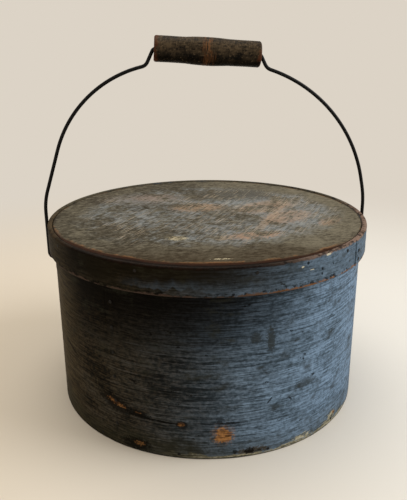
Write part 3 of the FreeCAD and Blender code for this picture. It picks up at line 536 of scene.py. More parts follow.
def painted_wall(name, soot_shade_low, soot_shade_high):
    """The old coats of paint, with the noises that later coats read."""
    wall = Finish(name, 0.7)
    cloud = wall.cloud = wall.noise((17, 17, 34), 6, 0.66, 0.4)
    strokes = wall.strokes = wall.noise((8, 8, 400), 5, 0.66)
    threads = wall.threads = wall.noise((48, 48, 820), 3, 0.74)
    dust = wall.dust = wall.noise((300, 300, 380), 2, 0.6)
    # grime and painted shade: darker, less blue paint towards the left, away from the lamp
    grime_and_shade_side = wall.between(wall.facing(-145), 0.0, 1.06, smooth=False)
    back_side = wall.between(wall.facing(90), -0.1, 0.7)

    rough = wall.scatter(0.41, (threads, 2.2), (cloud, 1.6), (strokes, 0.8), (dust, 1.6))
    ground = wall.ramp(rough, BLACK_GROUND, OLIVE_GROUND)
    pale = wall.scatter(wall.calc("MULTIPLY_ADD", grime_and_shade_side, -0.2, 0.5), (threads, 1.8),
                        (strokes, 0.8), (dust, 1.1), (cloud, 0.8))
    blue = wall.ramp(pale, BLUE_DARK, BLUE_LIGHT)
    blue = wall.lay(wall.between(grime_and_shade_side, 0.45, 0.95), 0.75, blue, paint(58, 58, 46))
    shade = wall.calc("MULTIPLY_ADD", back_side, 0.5, wall.times(grime_and_shade_side, 1.45))
    cover = wall.scatter(wall.calc("SUBTRACT", 1.17, shade), (cloud, 1.2), (strokes, 0.45),
                         (threads, 0.7))
    wall.colour = wall.blend(wall.between(cover, -0.5, 1.15), ground, blue)

    # soot and painted shade: black high on the left side, under the lid
    level = wall.scatter(wall.z, (cloud, 0.06), (strokes, 0.012))
    soot_and_shade = wall.times(wall.between(level, soot_shade_low, soot_shade_high),
                      wall.between(wall.facing(-125), 0.25, 0.95))
    wall.coat(soot_and_shade, 0.94, BLACK_GROUND)
    # painted light: at the far left the bare threads are lightened, as if light came from the left
    painted_rim_light = wall.times(wall.between(wall.facing(-178), 0.78, 0.97), wall.between(threads, 0.25, 0.6))
    wall.coat(painted_rim_light, 0.6, paint(88, 76, 54))
    # painted shade under the band's edge, with grime above the foot, both away from the front right
    shade_under_band = wall.between(level, 128 * MM, 158 * MM)
    above_foot = wall.between(level, 30 * MM, 4 * MM)
    ring = wall.times(wall.calc("MAXIMUM", shade_under_band, above_foot),
                      wall.between(wall.facing(-70), 0.55, -0.2))
    wall.coat(ring, 0.55, BLACK_GROUND)
    blots = wall.scatter(wall.noise((42, 42, 80), 5, 0.68, shift=3), (threads, 0.35))
    wall.coat(wall.between(blots, 0.53, 0.72), 0.7, SMUDGE)
    spots = wall.noise((130, 130, 200), 3, 0.6, shift=7)
    wall.coat(wall.between(spots, 0.66, 0.72), 0.8, BLACK_GROUND)
    return wall


def close_wall(wall, inner_radius, inner_top):
    """Dark grain over all, bare wood on the inner face, then gloss and bumps."""
    wall.coat(wall.between(wall.threads, 0.5, 0.3), 0.3, BLACK_GROUND)
    inner = wall.times(wall.between(wall.reach, inner_radius + 0.6 * MM, inner_radius + 0.2 * MM),
                       wall.between(wall.z, inner_top, inner_top - 1 * MM))
    bare = wall.blend(wall.between(wall.strokes, 0.35, 0.65), INSIDE_DARK, INSIDE_WOOD)
    wall.colour = wall.blend(inner, wall.colour, bare)
    ridges = wall.scatter(0.5, (wall.strokes, 0.5), (wall.threads, 0.5))
    wall.close(ridges, 0.5 * MM, 0.02, wall.calc("MULTIPLY_ADD", wall.cloud, 0.35, 0.38))
    return wall.material


print("the pale blue is", round(BLUE_LIGHT[2] / BLACK_GROUND[2]), "times as bright as the ground")

# %% [markdown]
# ### The drum's own marks
#
# An orange scrape and a rusty nail show low at the front, with a dark crack running left from
# the nail, and the foot is worn pale at the right. Each mark is a row of numbers: its angle,
# height, half length and half width, how ragged it is, its slope, its colour and its share.

# %% Drum finish
SIDE_MARKS = [
    # angle, height, half length, half width, ragged, slope, colour, share
    (-89.4, 25.5, 10.5, 10.5, 2.4, 0, "bare", 0.3),
    (-89.6, 27.0, 6.2, 5.2, 2.2, 0, "bare", 0.95),
    (-88.6, 23.0, 6.6, 5.4, 2.2, 0, "bare", 0.95),
    (-90.2, 21.8, 5.0, 4.4, 2.2, 0, "bare", 0.95),
    (-87.6, 23.8, 3.6, 0.9, 2.6, 0, "black", 0.75),
    (-89.4, 28.4, 3.2, 0.7, 2.6, 0, "black", 0.5),
    (-90.5, 40.0, 3.4, 3.6, 2.4, 0, "black", 0.65),
    (-87.0, 36.5, 9.0, 1.5, 2.4, 0, "black", 0.85),
    (-102.9, 34.7, 5.6, 4.2, 1.6, 0, "black", 0.85),
    (-103.1, 35.0, 3.2, 2.2, 1.6, 0, "bare", 0.75),
    (-102.6, 34.6, 0.9, 0.8, 1.6, 0, "black", 0.8),
    (-110.5, 35.8, 19.0, 1.2, 1.4, -3, "black", 0.95),
    (-118.5, 38.5, 13.0, 3.2, 3.0, -8, "black", 0.85),
    (-118.0, 40.0, 4.0, 0.9, 3.0, 0, "bare", 0.5),
    (-127.4, 43, 20.0, 8.0, 2.8, -14, "black", 0.8),
    (-126.9, 43.5, 10.0, 2.2, 3.6, -14, "bare", 0.75),
    (-151.7, 75.5, 15.0, 1.7, 2.4, -18, "black", 0.95),
    (-73.8, 54.3, 4.2, 0.9, 1.4, 50, "black", 0.85),
    (-66.1, 50.9, 2.8, 0.9, 1.4, -50, "black", 0.8),
    (-74, 112, 4, 13, 3.0, 0, "smudge", 0.75),
    (-79, 116, 5, 5, 3.0, 0, "smudge", 0.6),
    (-60, 62, 12, 4, 3.2, 0, "smudge", 0.6),
    (-79.5, 5.4, 16.0, 4.0, 3.0, 3, "brown", 0.8),
    (-80.7, 6.0, 5.0, 3.2, 2.4, 0, "black", 0.9),
    (-77.5, 4.6, 4.0, 1.4, 2.8, 0, "black", 0.7),
    (-85.5, 6.6, 2.6, 2.4, 1.6, 0, "black", 0.8),
    (-60.5, 5.6, 10.0, 3.2, 3.0, 0, "pale", 0.8),
    (-43.5, 8.0, 7.0, 4.4, 2.8, 0, "pale", 0.8),
    (-42.0, 9.5, 2.6, 1.8, 2.4, 0, "bare", 0.9),
    (-41.5, 8.5, 1.2, 0.8, 2.0, 0, "black", 0.9),
    (-119, 7, 16.0, 6.5, 3.0, 0, "black", 0.85),
    (-118, 8.5, 5.0, 2.4, 3.6, 0, "bare", 0.45),
]


def drum_finish():
    wall = painted_wall("blue_painted_side", 74 * MM, 150 * MM)
    threads, dust = wall.threads, wall.dust
    low = wall.between(wall.scatter(wall.z, (wall.cloud, 0.05)), 32 * MM, 2 * MM)
    wall.coat(low, 0.4, paint(58, 56, 42))
    patchy = wall.between(wall.scatter(0.5, (threads, 1.6), (dust, 1.8)), -0.1, 0.55)
    bare = wall.ramp(wall.scatter(0.45, (threads, 2.6), (dust, 1.6)), BARE_BROWN, BARE_ORANGE)
    pale = wall.ramp(wall.scatter(0.5, (threads, 2.2), (dust, 2.4)), PALE_DARK, PALE_LIGHT)
    tones = {"black": BLACK_GROUND, "smudge": SMUDGE, "brown": paint(62, 52, 36), "pale": pale,
             "bare": bare}
    lay_wall_marks(wall, SIDE_RADIUS, SIDE_MARKS, tones, patchy)
    level = wall.scatter(wall.z, (wall.cloud, 0.022), (dust, 0.006))
    worn = wall.times(wall.between(level, 4.8 * MM, 2.6 * MM),
                      wall.between(wall.facing(-45), 0.36, 0.92),
                      wall.between(threads, 0.32, 0.5))
    wall.coat(worn, 0.85, pale)
    wall.coat(wall.between(wall.z, 1.8 * MM, 0.6 * MM), 0.75, BLACK_GROUND)
    return close_wall(wall, SIDE_RADIUS - SIDE_WALL, SIDE_HEIGHT)


SIDE_FINISH = drum_finish()

# %% [markdown]
# ### The band's own wear
#
# Hands open a lid at the front, so the band's top edge is worn bare and dirty there, and only
# rubbed pale at the right. Its lower edge knocks against the drum each time the lid goes on:
# the paint has chipped away in a ragged line with dark nicks above it. The noise that makes the
# edges ragged also decides where they are dirty, so both belong together.

# %% Band finish
BAND_MARKS = [
    # angle, height, half length, half width, ragged, slope, colour, share
    (-57, 169.5, 1.3, 1.3, 1.2, 0, "black", 0.85),
    (-57, 165, 1.1, 1.1, 1.2, 0, "black", 0.85),
    (-52, 171, 0.9, 0.9, 1.2, 0, "black", 0.85),
    (-63, 178, 1.5, 1.5, 1.2, 0, "black", 0.85),
    (-54.5, 180.6, 3.6, 0.9, 2.0, 0, "cream", 0.8),
    (-65, 175.5, 1.5, 0.8, 2.0, 0, "cream", 0.8),
    (-61.3, 171.5, 2.2, 0.5, 2.0, 0, "cream", 0.8),
]


def band_finish():
    wall = painted_wall("blue_painted_band", 150 * MM, 174 * MM)
    broken = wall.noise((70, 70, 110), 5, 0.7)
    right = wall.between(wall.facing(-10), 0.1, 0.8)
    back = wall.between(wall.facing(90), -0.1, 0.4)
    handled = wall.between(wall.facing(-110), 0.5, 0.9)
    wall.coat(wall.times(wall.between(wall.threads, 0.3, 0.6), right), 0.5, paint(60, 66, 68))
    wall.coat(wall.between(wall.facing(-105), 0.72, 0.96), 0.3, paint(40, 33, 18))

    drips = wall.scatter(wall.z, (wall.noise((60, 60, 12), 3, 0.5), 0.022))
    film = wall.times(wall.between(drips, 161.6 * MM, 163.2 * MM),
                      wall.between(drips, 172 * MM, 163 * MM),
                      wall.between(wall.facing(-100), 0.92, 0.99),
                      wall.between(broken, 0.3, 0.6))
    wall.coat(film, 0.12, BLUE_LIGHT)

    bare = wall.blend(right, paint(70, 58, 41), paint(120, 98, 84))
    bare = wall.blend(back, bare, paint(76, 70, 55))
    bare = wall.blend(handled, bare, paint(24, 13, 7))
    level = wall.scatter(wall.z, (broken, 0.006), (wall.dust, 0.002))
    rim = wall.between(level, LID_TOP - 2.0 * MM, LID_TOP - 0.5 * MM)
    wall.coat(rim, 0.92, bare)
    clean = wall.calc("MULTIPLY_ADD", wall.calc("MAXIMUM", handled, right), -0.10, 0.15)
    dirt = wall.scatter(wall.calc("ADD", broken, clean), (wall.dust, 0.6))
    wall.coat(wall.times(rim, wall.between(dirt, 0.60, 0.44)), 0.85, BLACK_GROUND)

    chipped = wall.scatter(wall.z, (broken, -0.011), (wall.dust, 0.002))
    nicks = wall.times(wall.between(wall.noise((210, 210, 160), 2, 0.6, shift=5), 0.5, 0.58),
                       wall.between(chipped, BAND_LOW + 4.0 * MM, BAND_LOW + 2.6 * MM))
    wall.coat(nicks, 0.8, BLACK_GROUND)
    foot = wall.times(wall.between(chipped, BAND_LOW + 1.9 * MM, BAND_LOW + 0.8 * MM),
                      wall.between(broken, 0.36, 0.5))
    foot_tone = wall.blend(right, paint(70, 57, 50), paint(128, 88, 54))
    wall.coat(foot, 0.85, wall.blend(back, foot_tone, paint(34, 27, 20)))
    lay_wall_marks(wall, LID_RADIUS, BAND_MARKS, {"black": BLACK_GROUND, "cream": CREAM})
    return close_wall(wall, LID_RADIUS - BAND_WALL, BOARD_LOW)


BAND_FINISH = band_finish()

# %% [markdown]
# ### Drum and band
#
# Both hoops come from one builder. The pivot holes are cut with a Boolean, because a grid of
# points has no good place for a small round hole, and the cut is kept as plain mesh.


# %% Drum and band
def keep_result(piece):
    """Replaces a piece's mesh by what its modifiers make, and removes them."""
    graph = bpy.context.evaluated_depsgraph_get()
    made = bpy.data.meshes.new_from_object(piece.evaluated_get(graph))
    piece.modifiers.clear()
    piece.data = made
    return piece


def cut_pivot_holes(piece):
    bpy.ops.mesh.primitive_cylinder_add(vertices=32, radius=PIVOT_HOLE, depth=DRILL_LENGTH,
                                        location=(0, 0, PIVOT_HEIGHT),
                                        rotation=(0, math.pi / 2, 0))
    drill = bpy.context.object
    cut = piece.modifiers.new("pivot_holes", "BOOLEAN")
    cut.operation, cut.solver, cut.object = "DIFFERENCE", "EXACT", drill
    keep_result(piece)
    bpy.data.objects.remove(drill)


def place_piece(piece, body, slot, *nodes):
    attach(piece, body)
    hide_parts(*nodes)
    print(piece.name, len(piece.data.polygons), "faces on", body)


drum = hoop("box_side_worn", SIDE_FINISH, SIDE_RADIUS, SIDE_WALL, 0, SIDE_HEIGHT, seam=SIDE_SEAM,
            lap=63 * MM, rise=SIDE_STEP, groove=0.3 * MM, seed=11, bow=0.12 * MM,
            top_round=0.6 * MM, foot_round=0.8 * MM, rows=80)
cut_pivot_holes(drum)
place_piece(drum, "box", "blue_painted_side", "box_side")
band = hoop("lid_band_worn", BAND_FINISH, LID_RADIUS, BAND_WALL, BAND_LOW, LID_TOP, seam=BAND_SEAM,
            lap=58 * MM, rise=BAND_STEP, groove=0.12 * MM, seed=23, bow=0.1 * MM,
            top_round=1.4 * MM, foot_round=0.9 * MM, rows=22)
place_piece(band, "lid", "blue_painted_band", "lid_band")

# %% [markdown]
# ## The boards
#
# The lid's board and the bottom are flat discs of sawn wood. Their faces are drawn as rings of
# points from the middle outwards, so that the rim stays round while the surface carries long
# plane marks along the grain.

# %% Board builder
PLANE_DEPTH, LOWER_EDGE = 0.12 * MM, 0.4 * MM


def board(name, material, radius, low, high, rounding, seed, rings=64, turns=420):
    quarter = np.linspace(0, math.pi / 2, 5)[1:]
    face = np.linspace(0, radius - rounding, rings)[1:]
    reach = np.concatenate([face, radius - rounding * (1 - np.sin(quarter)),
                            [radius, radius - LOWER_EDGE], np.linspace(radius, 0, 12)[1:-1]])
    level = np.concatenate([np.full(len(face), high), high - rounding * (1 - np.cos(quarter)),
                            [low + LOWER_EDGE, low], np.full(10, low)])
    angle = np.linspace(0, 2 * math.pi, turns, endpoint=False)[:, None]
    x, y = reach * np.cos(angle), reach * np.sin(angle)
    ridges = waves(seed, 6 * x / radius, y, 40, (0, 3), (5 * MM, 22 * MM))
    hollow = waves(seed + 1, 3 * x / radius, y, 8, (0, 2), (120 * MM, 400 * MM))
    marks = PLANE_DEPTH * (0.35 * ridges + hollow)
    z = level + (marks - marks.max()) * (np.arange(len(reach)) < len(face))
    grid = np.stack([x, y, z], -1)
    return capped_piece(name, grid, [0, 0, z[:, 0].mean()], [0, 0, low], material)


print("plane marks of about", PLANE_DEPTH / MM, "mm are taken off each face")

# %% [markdown]
# ### The lid's top
#
# Things set down on the lid have rubbed its middle: blue-grey and pinkish patches lie over the
# olive-brown, with fine slanting scratches, while a plain ring near the rim is left. The ring
# comes from the distance to the centre, and the scratches from a noise squeezed across their
# own direction. At the front, where hands take hold, the board's edge is worn through an orange
# line to reddish brown and then to black.

# %% Lid finish
LID_MARKS = [
    # x, y, direction, half length, half width, ragged, colour, share
    (60, -22, 65, 78, 5, 2.4, paint(160, 140, 118), 0.45),
    (66, 28, 30, 38, 20, 2.4, paint(150, 126, 104), 0.7),
    (80, -14, 40, 30, 18, 2.6, paint(154, 130, 110), 0.7),
    (-6, 30, 0, 30, 16, 2.6, paint(146, 120, 94), 0.7),
    (38, -72, 10, 26, 11, 2.6, paint(156, 124, 98), 0.7),
    (-53, 75, 0, 26, 15, 2.8, paint(134, 116, 104), 0.6),
    (-62, 70, 0, 50, 24, 2.8, paint(122, 112, 105), 0.4),
    (118, -34, 50, 16, 8, 2.8, paint(146, 116, 90), 0.6),
    (7, -79, 0, 9, 6, 2.8, paint(150, 130, 106), 0.5),
    (-33, -75, 0, 9, 6, 3.0, paint(180, 168, 136), 0.75),
    (2, -133, 0, 8, 1.4, 3.0, paint(206, 194, 162), 0.8),
    (34, 80, 0, 62, 26, 2.6, paint(62, 57, 46), 0.75),
    (46, 102, 0, 40, 16, 2.6, paint(62, 57, 44), 0.4),
]


def lid_finish():
    top = Finish("worn_painted_board", 0.6)
    cloud = top.noise((24, 24, 24), 7, 0.68, 0.7)
    smear = top.noise((60, 36, 40), 6, 0.7, 0.4, turn=-35, shift=5)
    rubs = top.noise((48, 330, 48), 4, 0.7, turn=-60)
    fine = top.noise((190, 320, 190), 3, 0.74, turn=-20)
    grain = top.noise((22, 420, 22), 4, 0.66)

    bright = top.between(top.x, -60 * MM, 110 * MM)
    tone = top.scatter(top.calc("MULTIPLY_ADD", bright, 0.25, 0.4), (fine, 2.0), (grain, 1.1),
                       (cloud, 1.0))
    top.colour = top.ramp(tone, paint(50, 45, 35), paint(110, 104, 89))
    front = top.between(top.scatter(top.y, (cloud, 0.05)), -80 * MM, -130 * MM)
    top.coat(front, 0.6, paint(50, 38, 22))

    blue = top.ramp(top.scatter(0.55, (fine, 1.8), (rubs, 1.5)), paint(75, 79, 80),
                    paint(131, 136, 138))
    oval = top.add("ShaderNodeMapping", {"Vector": top.place, "Location": (0.0, -0.08, 0),
                   "Scale": (7.6, 8.9, 0)})[0]
    inside = top.between(top.scatter(top.vector("LENGTH", oval), (cloud, 0.5)), 1.08, 0.86)
    rubbed = top.scatter(top.calc("MULTIPLY_ADD", bright, 0.25, 0.5), (cloud, 1.5), (smear, 1.8),
                         (fine, 0.9), (rubs, 1.0))
    top.coat(top.times(top.between(rubbed, 0.25, 1.0), inside), 0.8, blue)

    shown = top.between(top.scatter(0.5, (smear, 1.8), (rubs, 1.8), (fine, 1.0)), 0.15, 0.75)
    for x, y, slope, length, width, ragged, tan, share in LID_MARKS:
        spot = mark(top, top.place, (x * MM, y * MM, BOARD_TOP), slope, length, width, ragged)
        top.coat(top.times(spot, shown), share, tan)
    hair = top.noise((34, 900, 34), 2, 0.6, turn=-62)
    where = top.scatter(top.noise(20, 3, 0.6), (bright, 0.1))
    cuts = top.times(top.between(hair, 0.56, 0.63), top.between(where, 0.42, 0.56), inside)
    top.coat(cuts, 0.5, paint(172, 158, 138))
    pits = top.noise((210, 260, 210), 3, 0.65, shift=9)
    top.coat(top.between(pits, 0.60, 0.70), 0.55, paint(34, 28, 20))

    handled = top.between(top.facing(-100), 0.3, 0.95, smooth=False)
    inward = top.calc("SUBTRACT", BOARD_RADIUS,
                      top.scatter(top.reach, (cloud, 0.010), (fine, 0.004)))
    worn = top.calc("SUBTRACT", top.times(handled, 12 * MM), inward)
    line = top.times(top.between(worn, -1.5 * MM, 0.2 * MM),
                     top.between(top.scatter(0.5, (fine, 1.6), (cloud, 2.2)), 0.3, 0.7))
    top.coat(line, 0.6, paint(120, 84, 52))
    top.coat(top.between(worn, 0.6 * MM, 3.0 * MM), 0.95, paint(44, 22, 11))
    top.coat(top.between(worn, 4 * MM, 8 * MM), 0.9, paint(10, 6, 4))
    rim = top.between(top.reach, BOARD_RADIUS - 1.6 * MM, BOARD_RADIUS - 0.3 * MM)
    top.coat(rim, 0.7, paint(28, 21, 14))
    below = top.between(top.z, BOARD_TOP - 1.5 * MM, BOARD_TOP - 2.5 * MM)
    top.colour = top.blend(below, top.colour, top.blend(smear, INSIDE_DARK, INSIDE_WOOD))
    bumps = top.scatter(0.5, (fine, 0.7), (grain, 0.3), (rubs, 0.6), (pits, -0.4))
    top.close(bumps, 0.28 * MM, 0.03, top.calc("MULTIPLY_ADD", cloud, 0.3, 0.5))
    return top.material


LID_FINISH = lid_finish()

# %% [markdown]
# ### The bottom board
#
# The bottom is plain sawn pine, never painted. A Wave texture gives its growth rings as straight
# bands along the board, and two noises add fine dark grain and a few grey patches.

# %% Pine finish and both boards
def pine_finish():
    pine = Finish("bare_pine", 0.65)
    rings = pine.add("ShaderNodeTexWave", {"Vector": pine.stretch((2, 60, 2)), "Scale": 1.0,
                     "Distortion": 6.0, "Detail": 3.0}, bands_direction="Y")["Fac"]
    fine, cloud = pine.noise((20, 700, 20), 4, 0.6), pine.noise(18, 4, 0.6)
    pine.colour = pine.blend(rings, paint(176, 138, 94), paint(142, 102, 62))
    pine.coat(pine.between(fine, 0.5, 0.3), 0.5, paint(98, 68, 42))
    pine.coat(pine.between(cloud, 0.5, 0.7), 0.6, paint(104, 84, 62))
    pine.close(fine, 0.2 * MM, 0.5)
    return pine.material


lid_top = board("lid_board_worn", LID_FINISH, BOARD_RADIUS, BOARD_LOW, BOARD_TOP, 0.6 * MM, 31)
place_piece(lid_top, "lid", "worn_painted_board", "lid_board")
bottom = board("bottom_board_sawn", pine_finish(), BASE_RADIUS, 0, BASE_THICK, 0.5 * MM, 37)
place_piece(bottom, "box", "bare_pine", "bottom_board")

# %% [markdown]
# ## Dark iron
#
# The wire, the ears and the tacks are iron that has gone nearly black, with a little rust
# where hands and damp have been. All of them share one recipe with different amounts of rust.

# %% Iron finishes
RUST = paint(84, 44, 26)


def iron_finish(name, dark, light, rust_from, roughness):
    iron = Finish(name, roughness)
    iron.shader.inputs["Metallic"].default_value = 0.05
    cloud, wide = iron.noise(260, 5, 0.65), iron.noise(45, 3, 0.6)
    iron.colour = iron.blend(iron.between(cloud, 0.35, 0.7), dark, light)
    damp = iron.calc("ADD", iron.times(cloud, 0.4), iron.times(wide, 0.6))
    rusty = iron.between(damp, rust_from, rust_from + 0.1)
    iron.coat(rusty, 0.8, RUST)
    iron.close(iron.calc("MULTIPLY_ADD", rusty, 0.5, cloud), 0.012 * MM, 0.15,
               iron.calc("MULTIPLY_ADD", rusty, 0.3, roughness))
    return iron.material


WIRE_FINISH = iron_finish("black_iron_wire", paint(4, 4, 3), paint(9, 8, 7), 0.66, 0.45)
PLATE_FINISH = iron_finish("iron_plate", paint(20, 17, 14), paint(44, 36, 28), 0.56, 0.5)
TACK_FINISH = iron_finish("iron_tacks", paint(10, 9, 8), paint(26, 23, 20), 0.56, 0.6)
NAIL_FINISH = iron_finish("iron_nails", paint(12, 11, 10), paint(30, 29, 27), 0.58, 0.6)

# %% [markdown]
# ## Tacks and nails
#
# Six kinds of tack and nail repeat in rows and rings. Geometry Nodes suit this: one tree puts
# a copy of a tack on each of a number of points, and the points step round the box by an angle
# and up by a height. Each copy is turned a little about itself at random, because hand-driven
# tacks never sit alike. The tree ends by making the copies real, as the export needs.


# %% Geometry node helpers
def new_tree(name, inputs):
    """A geometry tree with a mesh in and out, and named inputs: name, kind and value."""
    tree = bpy.data.node_groups.new(name, "GeometryNodeTree")
    face = tree.interface
    face.new_socket("Geometry", in_out="INPUT", socket_type="NodeSocketGeometry")
    for key, kind, value in inputs:
        socket = face.new_socket(key, in_out="INPUT", socket_type="NodeSocket" + kind)
        if value is not None:
            socket.default_value = value
    face.new_socket("Geometry", in_out="OUTPUT", socket_type="NodeSocketGeometry")
    given = tree.nodes.new("NodeGroupInput").outputs
    result = tree.nodes.new("NodeGroupOutput").inputs[0]
    return Nodes(tree), given, result


def make_real(nodes, shape, material, result):
    """Ends a tree: copies made real, the finish set, and the shape handed out."""
    real = nodes.add("GeometryNodeRealizeInstances", {0: shape})[0]
    done = nodes.add("GeometryNodeSetMaterial", {"Geometry": real, "Material": material})[0]
    nodes.tree.links.new(done, result)
    print(nodes.tree.name, "tree", len(nodes.tree.nodes), "nodes")
    return nodes.tree


def grow(name, tree, values, start=None):
    """Runs a tree on a mesh with the values given by name, and keeps the result as a mesh."""
    piece = bpy.data.objects.new(name, start or bpy.data.meshes.new(name))
    scene.collection.objects.link(piece)
    modifier = piece.modifiers.new(name, "NODES")
    modifier.node_group = tree
    for item in tree.interface.items_tree:
        if item.item_type == "SOCKET" and item.in_out == "INPUT" and item.name in values:
            modifier[item.identifier] = values[item.name]
    return keep_result(piece)


print("node groups so far", [group.name for group in bpy.data.node_groups])

# %% A tack for copying
TACK = ("tack", 0.7 * MM, 1.7 * MM, 0.12 * MM, 0.35 * MM)
NAIL = ("nail", 0.9 * MM, 1.5 * MM, 0.05 * MM, 0.2 * MM)
DENT = 0.04


def tack_shape(name, shank, head, edge, crown, length, sides=20):
    """A tack along +X: shank below zero, domed head above, with hammered flats on the dome."""
    dome = np.linspace(0, math.pi / 2, 6)[1:-1]
    reach = np.concatenate([[shank * 0.15, shank, shank, head, head], head * np.cos(dome)])
    along = np.concatenate([[-length, -length + 2 * shank, 0, 0, edge],
                            edge + (crown - edge) * np.sin(dome)])
    turn = np.linspace(0, 2 * math.pi, sides, endpoint=False)[:, None]
    dent = (1 + DENT * np.cos(3 * turn) * (np.arange(len(reach)) > 2)) * (1 - DENT)
    y, z = reach * dent * np.cos(turn), reach * dent * np.sin(turn)
    grid = np.stack([np.broadcast_to(along, y.shape), y, z], -1)
    return capped_piece(name, grid, [-length - 0.2 * MM, 0, 0], [crown, 0, 0], None, 40)


print("heads", round(2 * TACK[2] / MM, 1), "and", round(2 * NAIL[2] / MM, 1), "mm wide")

# %% Tree for rows and rings
def make_row_tree():
    nodes, given, result = new_tree("tack_row", [
        ("Tack", "Object", None), ("Count", "Int", 4), ("Radius", "Float", 0.1),
        ("First angle", "Float", 0.0), ("Angle step", "Float", 0.0),
        ("First height", "Float", 0.0), ("Height step", "Float", 0.0),
        ("Seed", "Int", 1), ("Finish", "Material", None)])
    number = nodes.add("GeometryNodeInputIndex")[0]
    angle = nodes.calc("MULTIPLY_ADD", number, given["Angle step"], given["First angle"])
    height = nodes.calc("MULTIPLY_ADD", number, given["Height step"], given["First height"])
    x = nodes.times(nodes.calc("COSINE", angle), given["Radius"])
    y = nodes.times(nodes.calc("SINE", angle), given["Radius"])
    place = nodes.add("ShaderNodeCombineXYZ", {0: x, 1: y, 2: height})[0]
    points = nodes.add("GeometryNodePoints", {"Count": given["Count"], "Position": place})[0]
    twist = nodes.add("FunctionNodeRandomValue", {2: 0.0, 3: 2 * math.pi, "Seed": given["Seed"]},
                      data_type="FLOAT")[1]
    turn = nodes.add("ShaderNodeCombineXYZ", {0: twist, 2: angle})[0]
    tack = nodes.add("GeometryNodeObjectInfo", {"Object": given["Tack"]})["Geometry"]
    copies = nodes.add("GeometryNodeInstanceOnPoints", {"Points": points, "Instance": tack,
                       "Rotation": turn})[0]
    return make_real(nodes, copies, given["Finish"], result)


ROW_TREE = make_row_tree()

# %% Rows and rings of tacks and nails
TACK_INSET, NAIL_INSET = 6 * MM, 4.5 * MM
SIDE_TACK_ANGLE = SIDE_SEAM + TACK_INSET / SIDE_RADIUS
BAND_TACK_ANGLE = BAND_SEAM + TACK_INSET / LID_RADIUS
EAR_PITCH = 18.5 * MM
EAR_ROW = (SIDE_RADIUS + 1.3 * MM, PIVOT_HEIGHT - EAR_PITCH / 2, EAR_PITCH)
ROWS = [
    # node, kind, shank length, body, slot, finish, count, radius, height, rise, angle, step
    ("side_lap_tacks", TACK, 4, "box", "iron_tacks", TACK_FINISH, 6, SIDE_RADIUS + SIDE_STEP,
     22 * MM, 24 * MM, SIDE_TACK_ANGLE, 0),
    ("lid_lap_tacks", TACK, 4, "lid", "iron_tacks", TACK_FINISH, 2, LID_RADIUS + BAND_STEP,
     BAND_LOW + 5.5 * MM, 8 * MM, BAND_TACK_ANGLE, 0),
    ("ear_tacks_right", TACK, 5.2, "box", "iron_tacks", TACK_FINISH, 2, *EAR_ROW, 0, 0),
    ("ear_tacks_left", TACK, 5.2, "box", "iron_tacks", TACK_FINISH, 2, *EAR_ROW, math.pi, 0),
    ("bottom_nails", NAIL, 17, "box", "iron_nails", NAIL_FINISH, 12, SIDE_RADIUS, NAIL_INSET, 0,
     math.radians(286), math.radians(30)),
    ("lid_nails", NAIL, 17, "lid", "iron_nails", NAIL_FINISH, 10, LID_RADIUS,
     BOARD_TOP - NAIL_INSET, 0, math.radians(280), math.radians(36)),
]
for seed, row in enumerate(ROWS):
    node, kind, length, body, slot, finish, count, radius, height, rise, angle, turn = row
    source = tack_shape("one_" + kind[0], *kind[1:], length * MM)
    rows = grow(node + "_driven", ROW_TREE, {
        "Tack": source, "Count": count, "Radius": radius, "First angle": angle,
        "Angle step": turn, "First height": height, "Height step": rise, "Seed": seed,
        "Finish": finish})
    bpy.data.objects.remove(source)
    place_piece(rows, body, slot, node)

# %% [markdown]
# ## The bail
#
# The bail is one length of wire, bent by hand: its feet turn in through the ears, the legs rise
# past the lid, the arch leans in, and a knee on each side lifts it to the grip. A tube that
# follows a path is work for Geometry Nodes as well: a round section is carried along a curve,
# and a noise pushes the surface in a little, as hammering and drawing leave it. The path is the
# chain of straight runs and arcs that the CAD wire has. It lies flat, so each point is written
# as one complex number: x, and the height as the imaginary part. Turning is then multiplying.

# %% Path of the wire
WIRE_RADIUS, LEG_X, FOOT_BEND, FOOT_INSIDE = 1.75, 161.5, 6.0, 3
PEEN_START, PEEN_RADIUS = 147.55, 3.2
PEEN_OUTLINE = [(1.8, 0.3), (1.7, 1.6), (1.45, 2.4), (1.1, 2.95), (0.6, PEEN_RADIUS),
                (0.05, PEEN_RADIUS), (0.0, WIRE_RADIUS)]
GRIP_SEAT, GRIP_SHIFT, SHOULDER = 50.6, 1.0, 4.0
RISER = cmath.rect(1, -math.radians(64))
HALVES = {
    # lean starts, its radius, its rise, straight run, crown, knee, rise to the grip
    1: (5, 100, 21, 8, 145, 10, 6.5),
    -1: (6, 70, 21.6, 42, 116, 8, 13.4),
}


def mirror(point, side):
    return point if side > 0 else -point.conjugate()


def dot(one, two):
    return (one * two.conjugate()).real


def arc(start, end, centre, step=1.2):
    """Points from start to end round a centre, the short way, start left out."""
    turn = cmath.phase((end - centre) / (start - centre))
    count = max(4, int(abs(turn) * abs(start - centre) / step))
    return [centre + (start - centre) * cmath.rect(1, turn * (i + 1) / count)
            for i in range(count)]


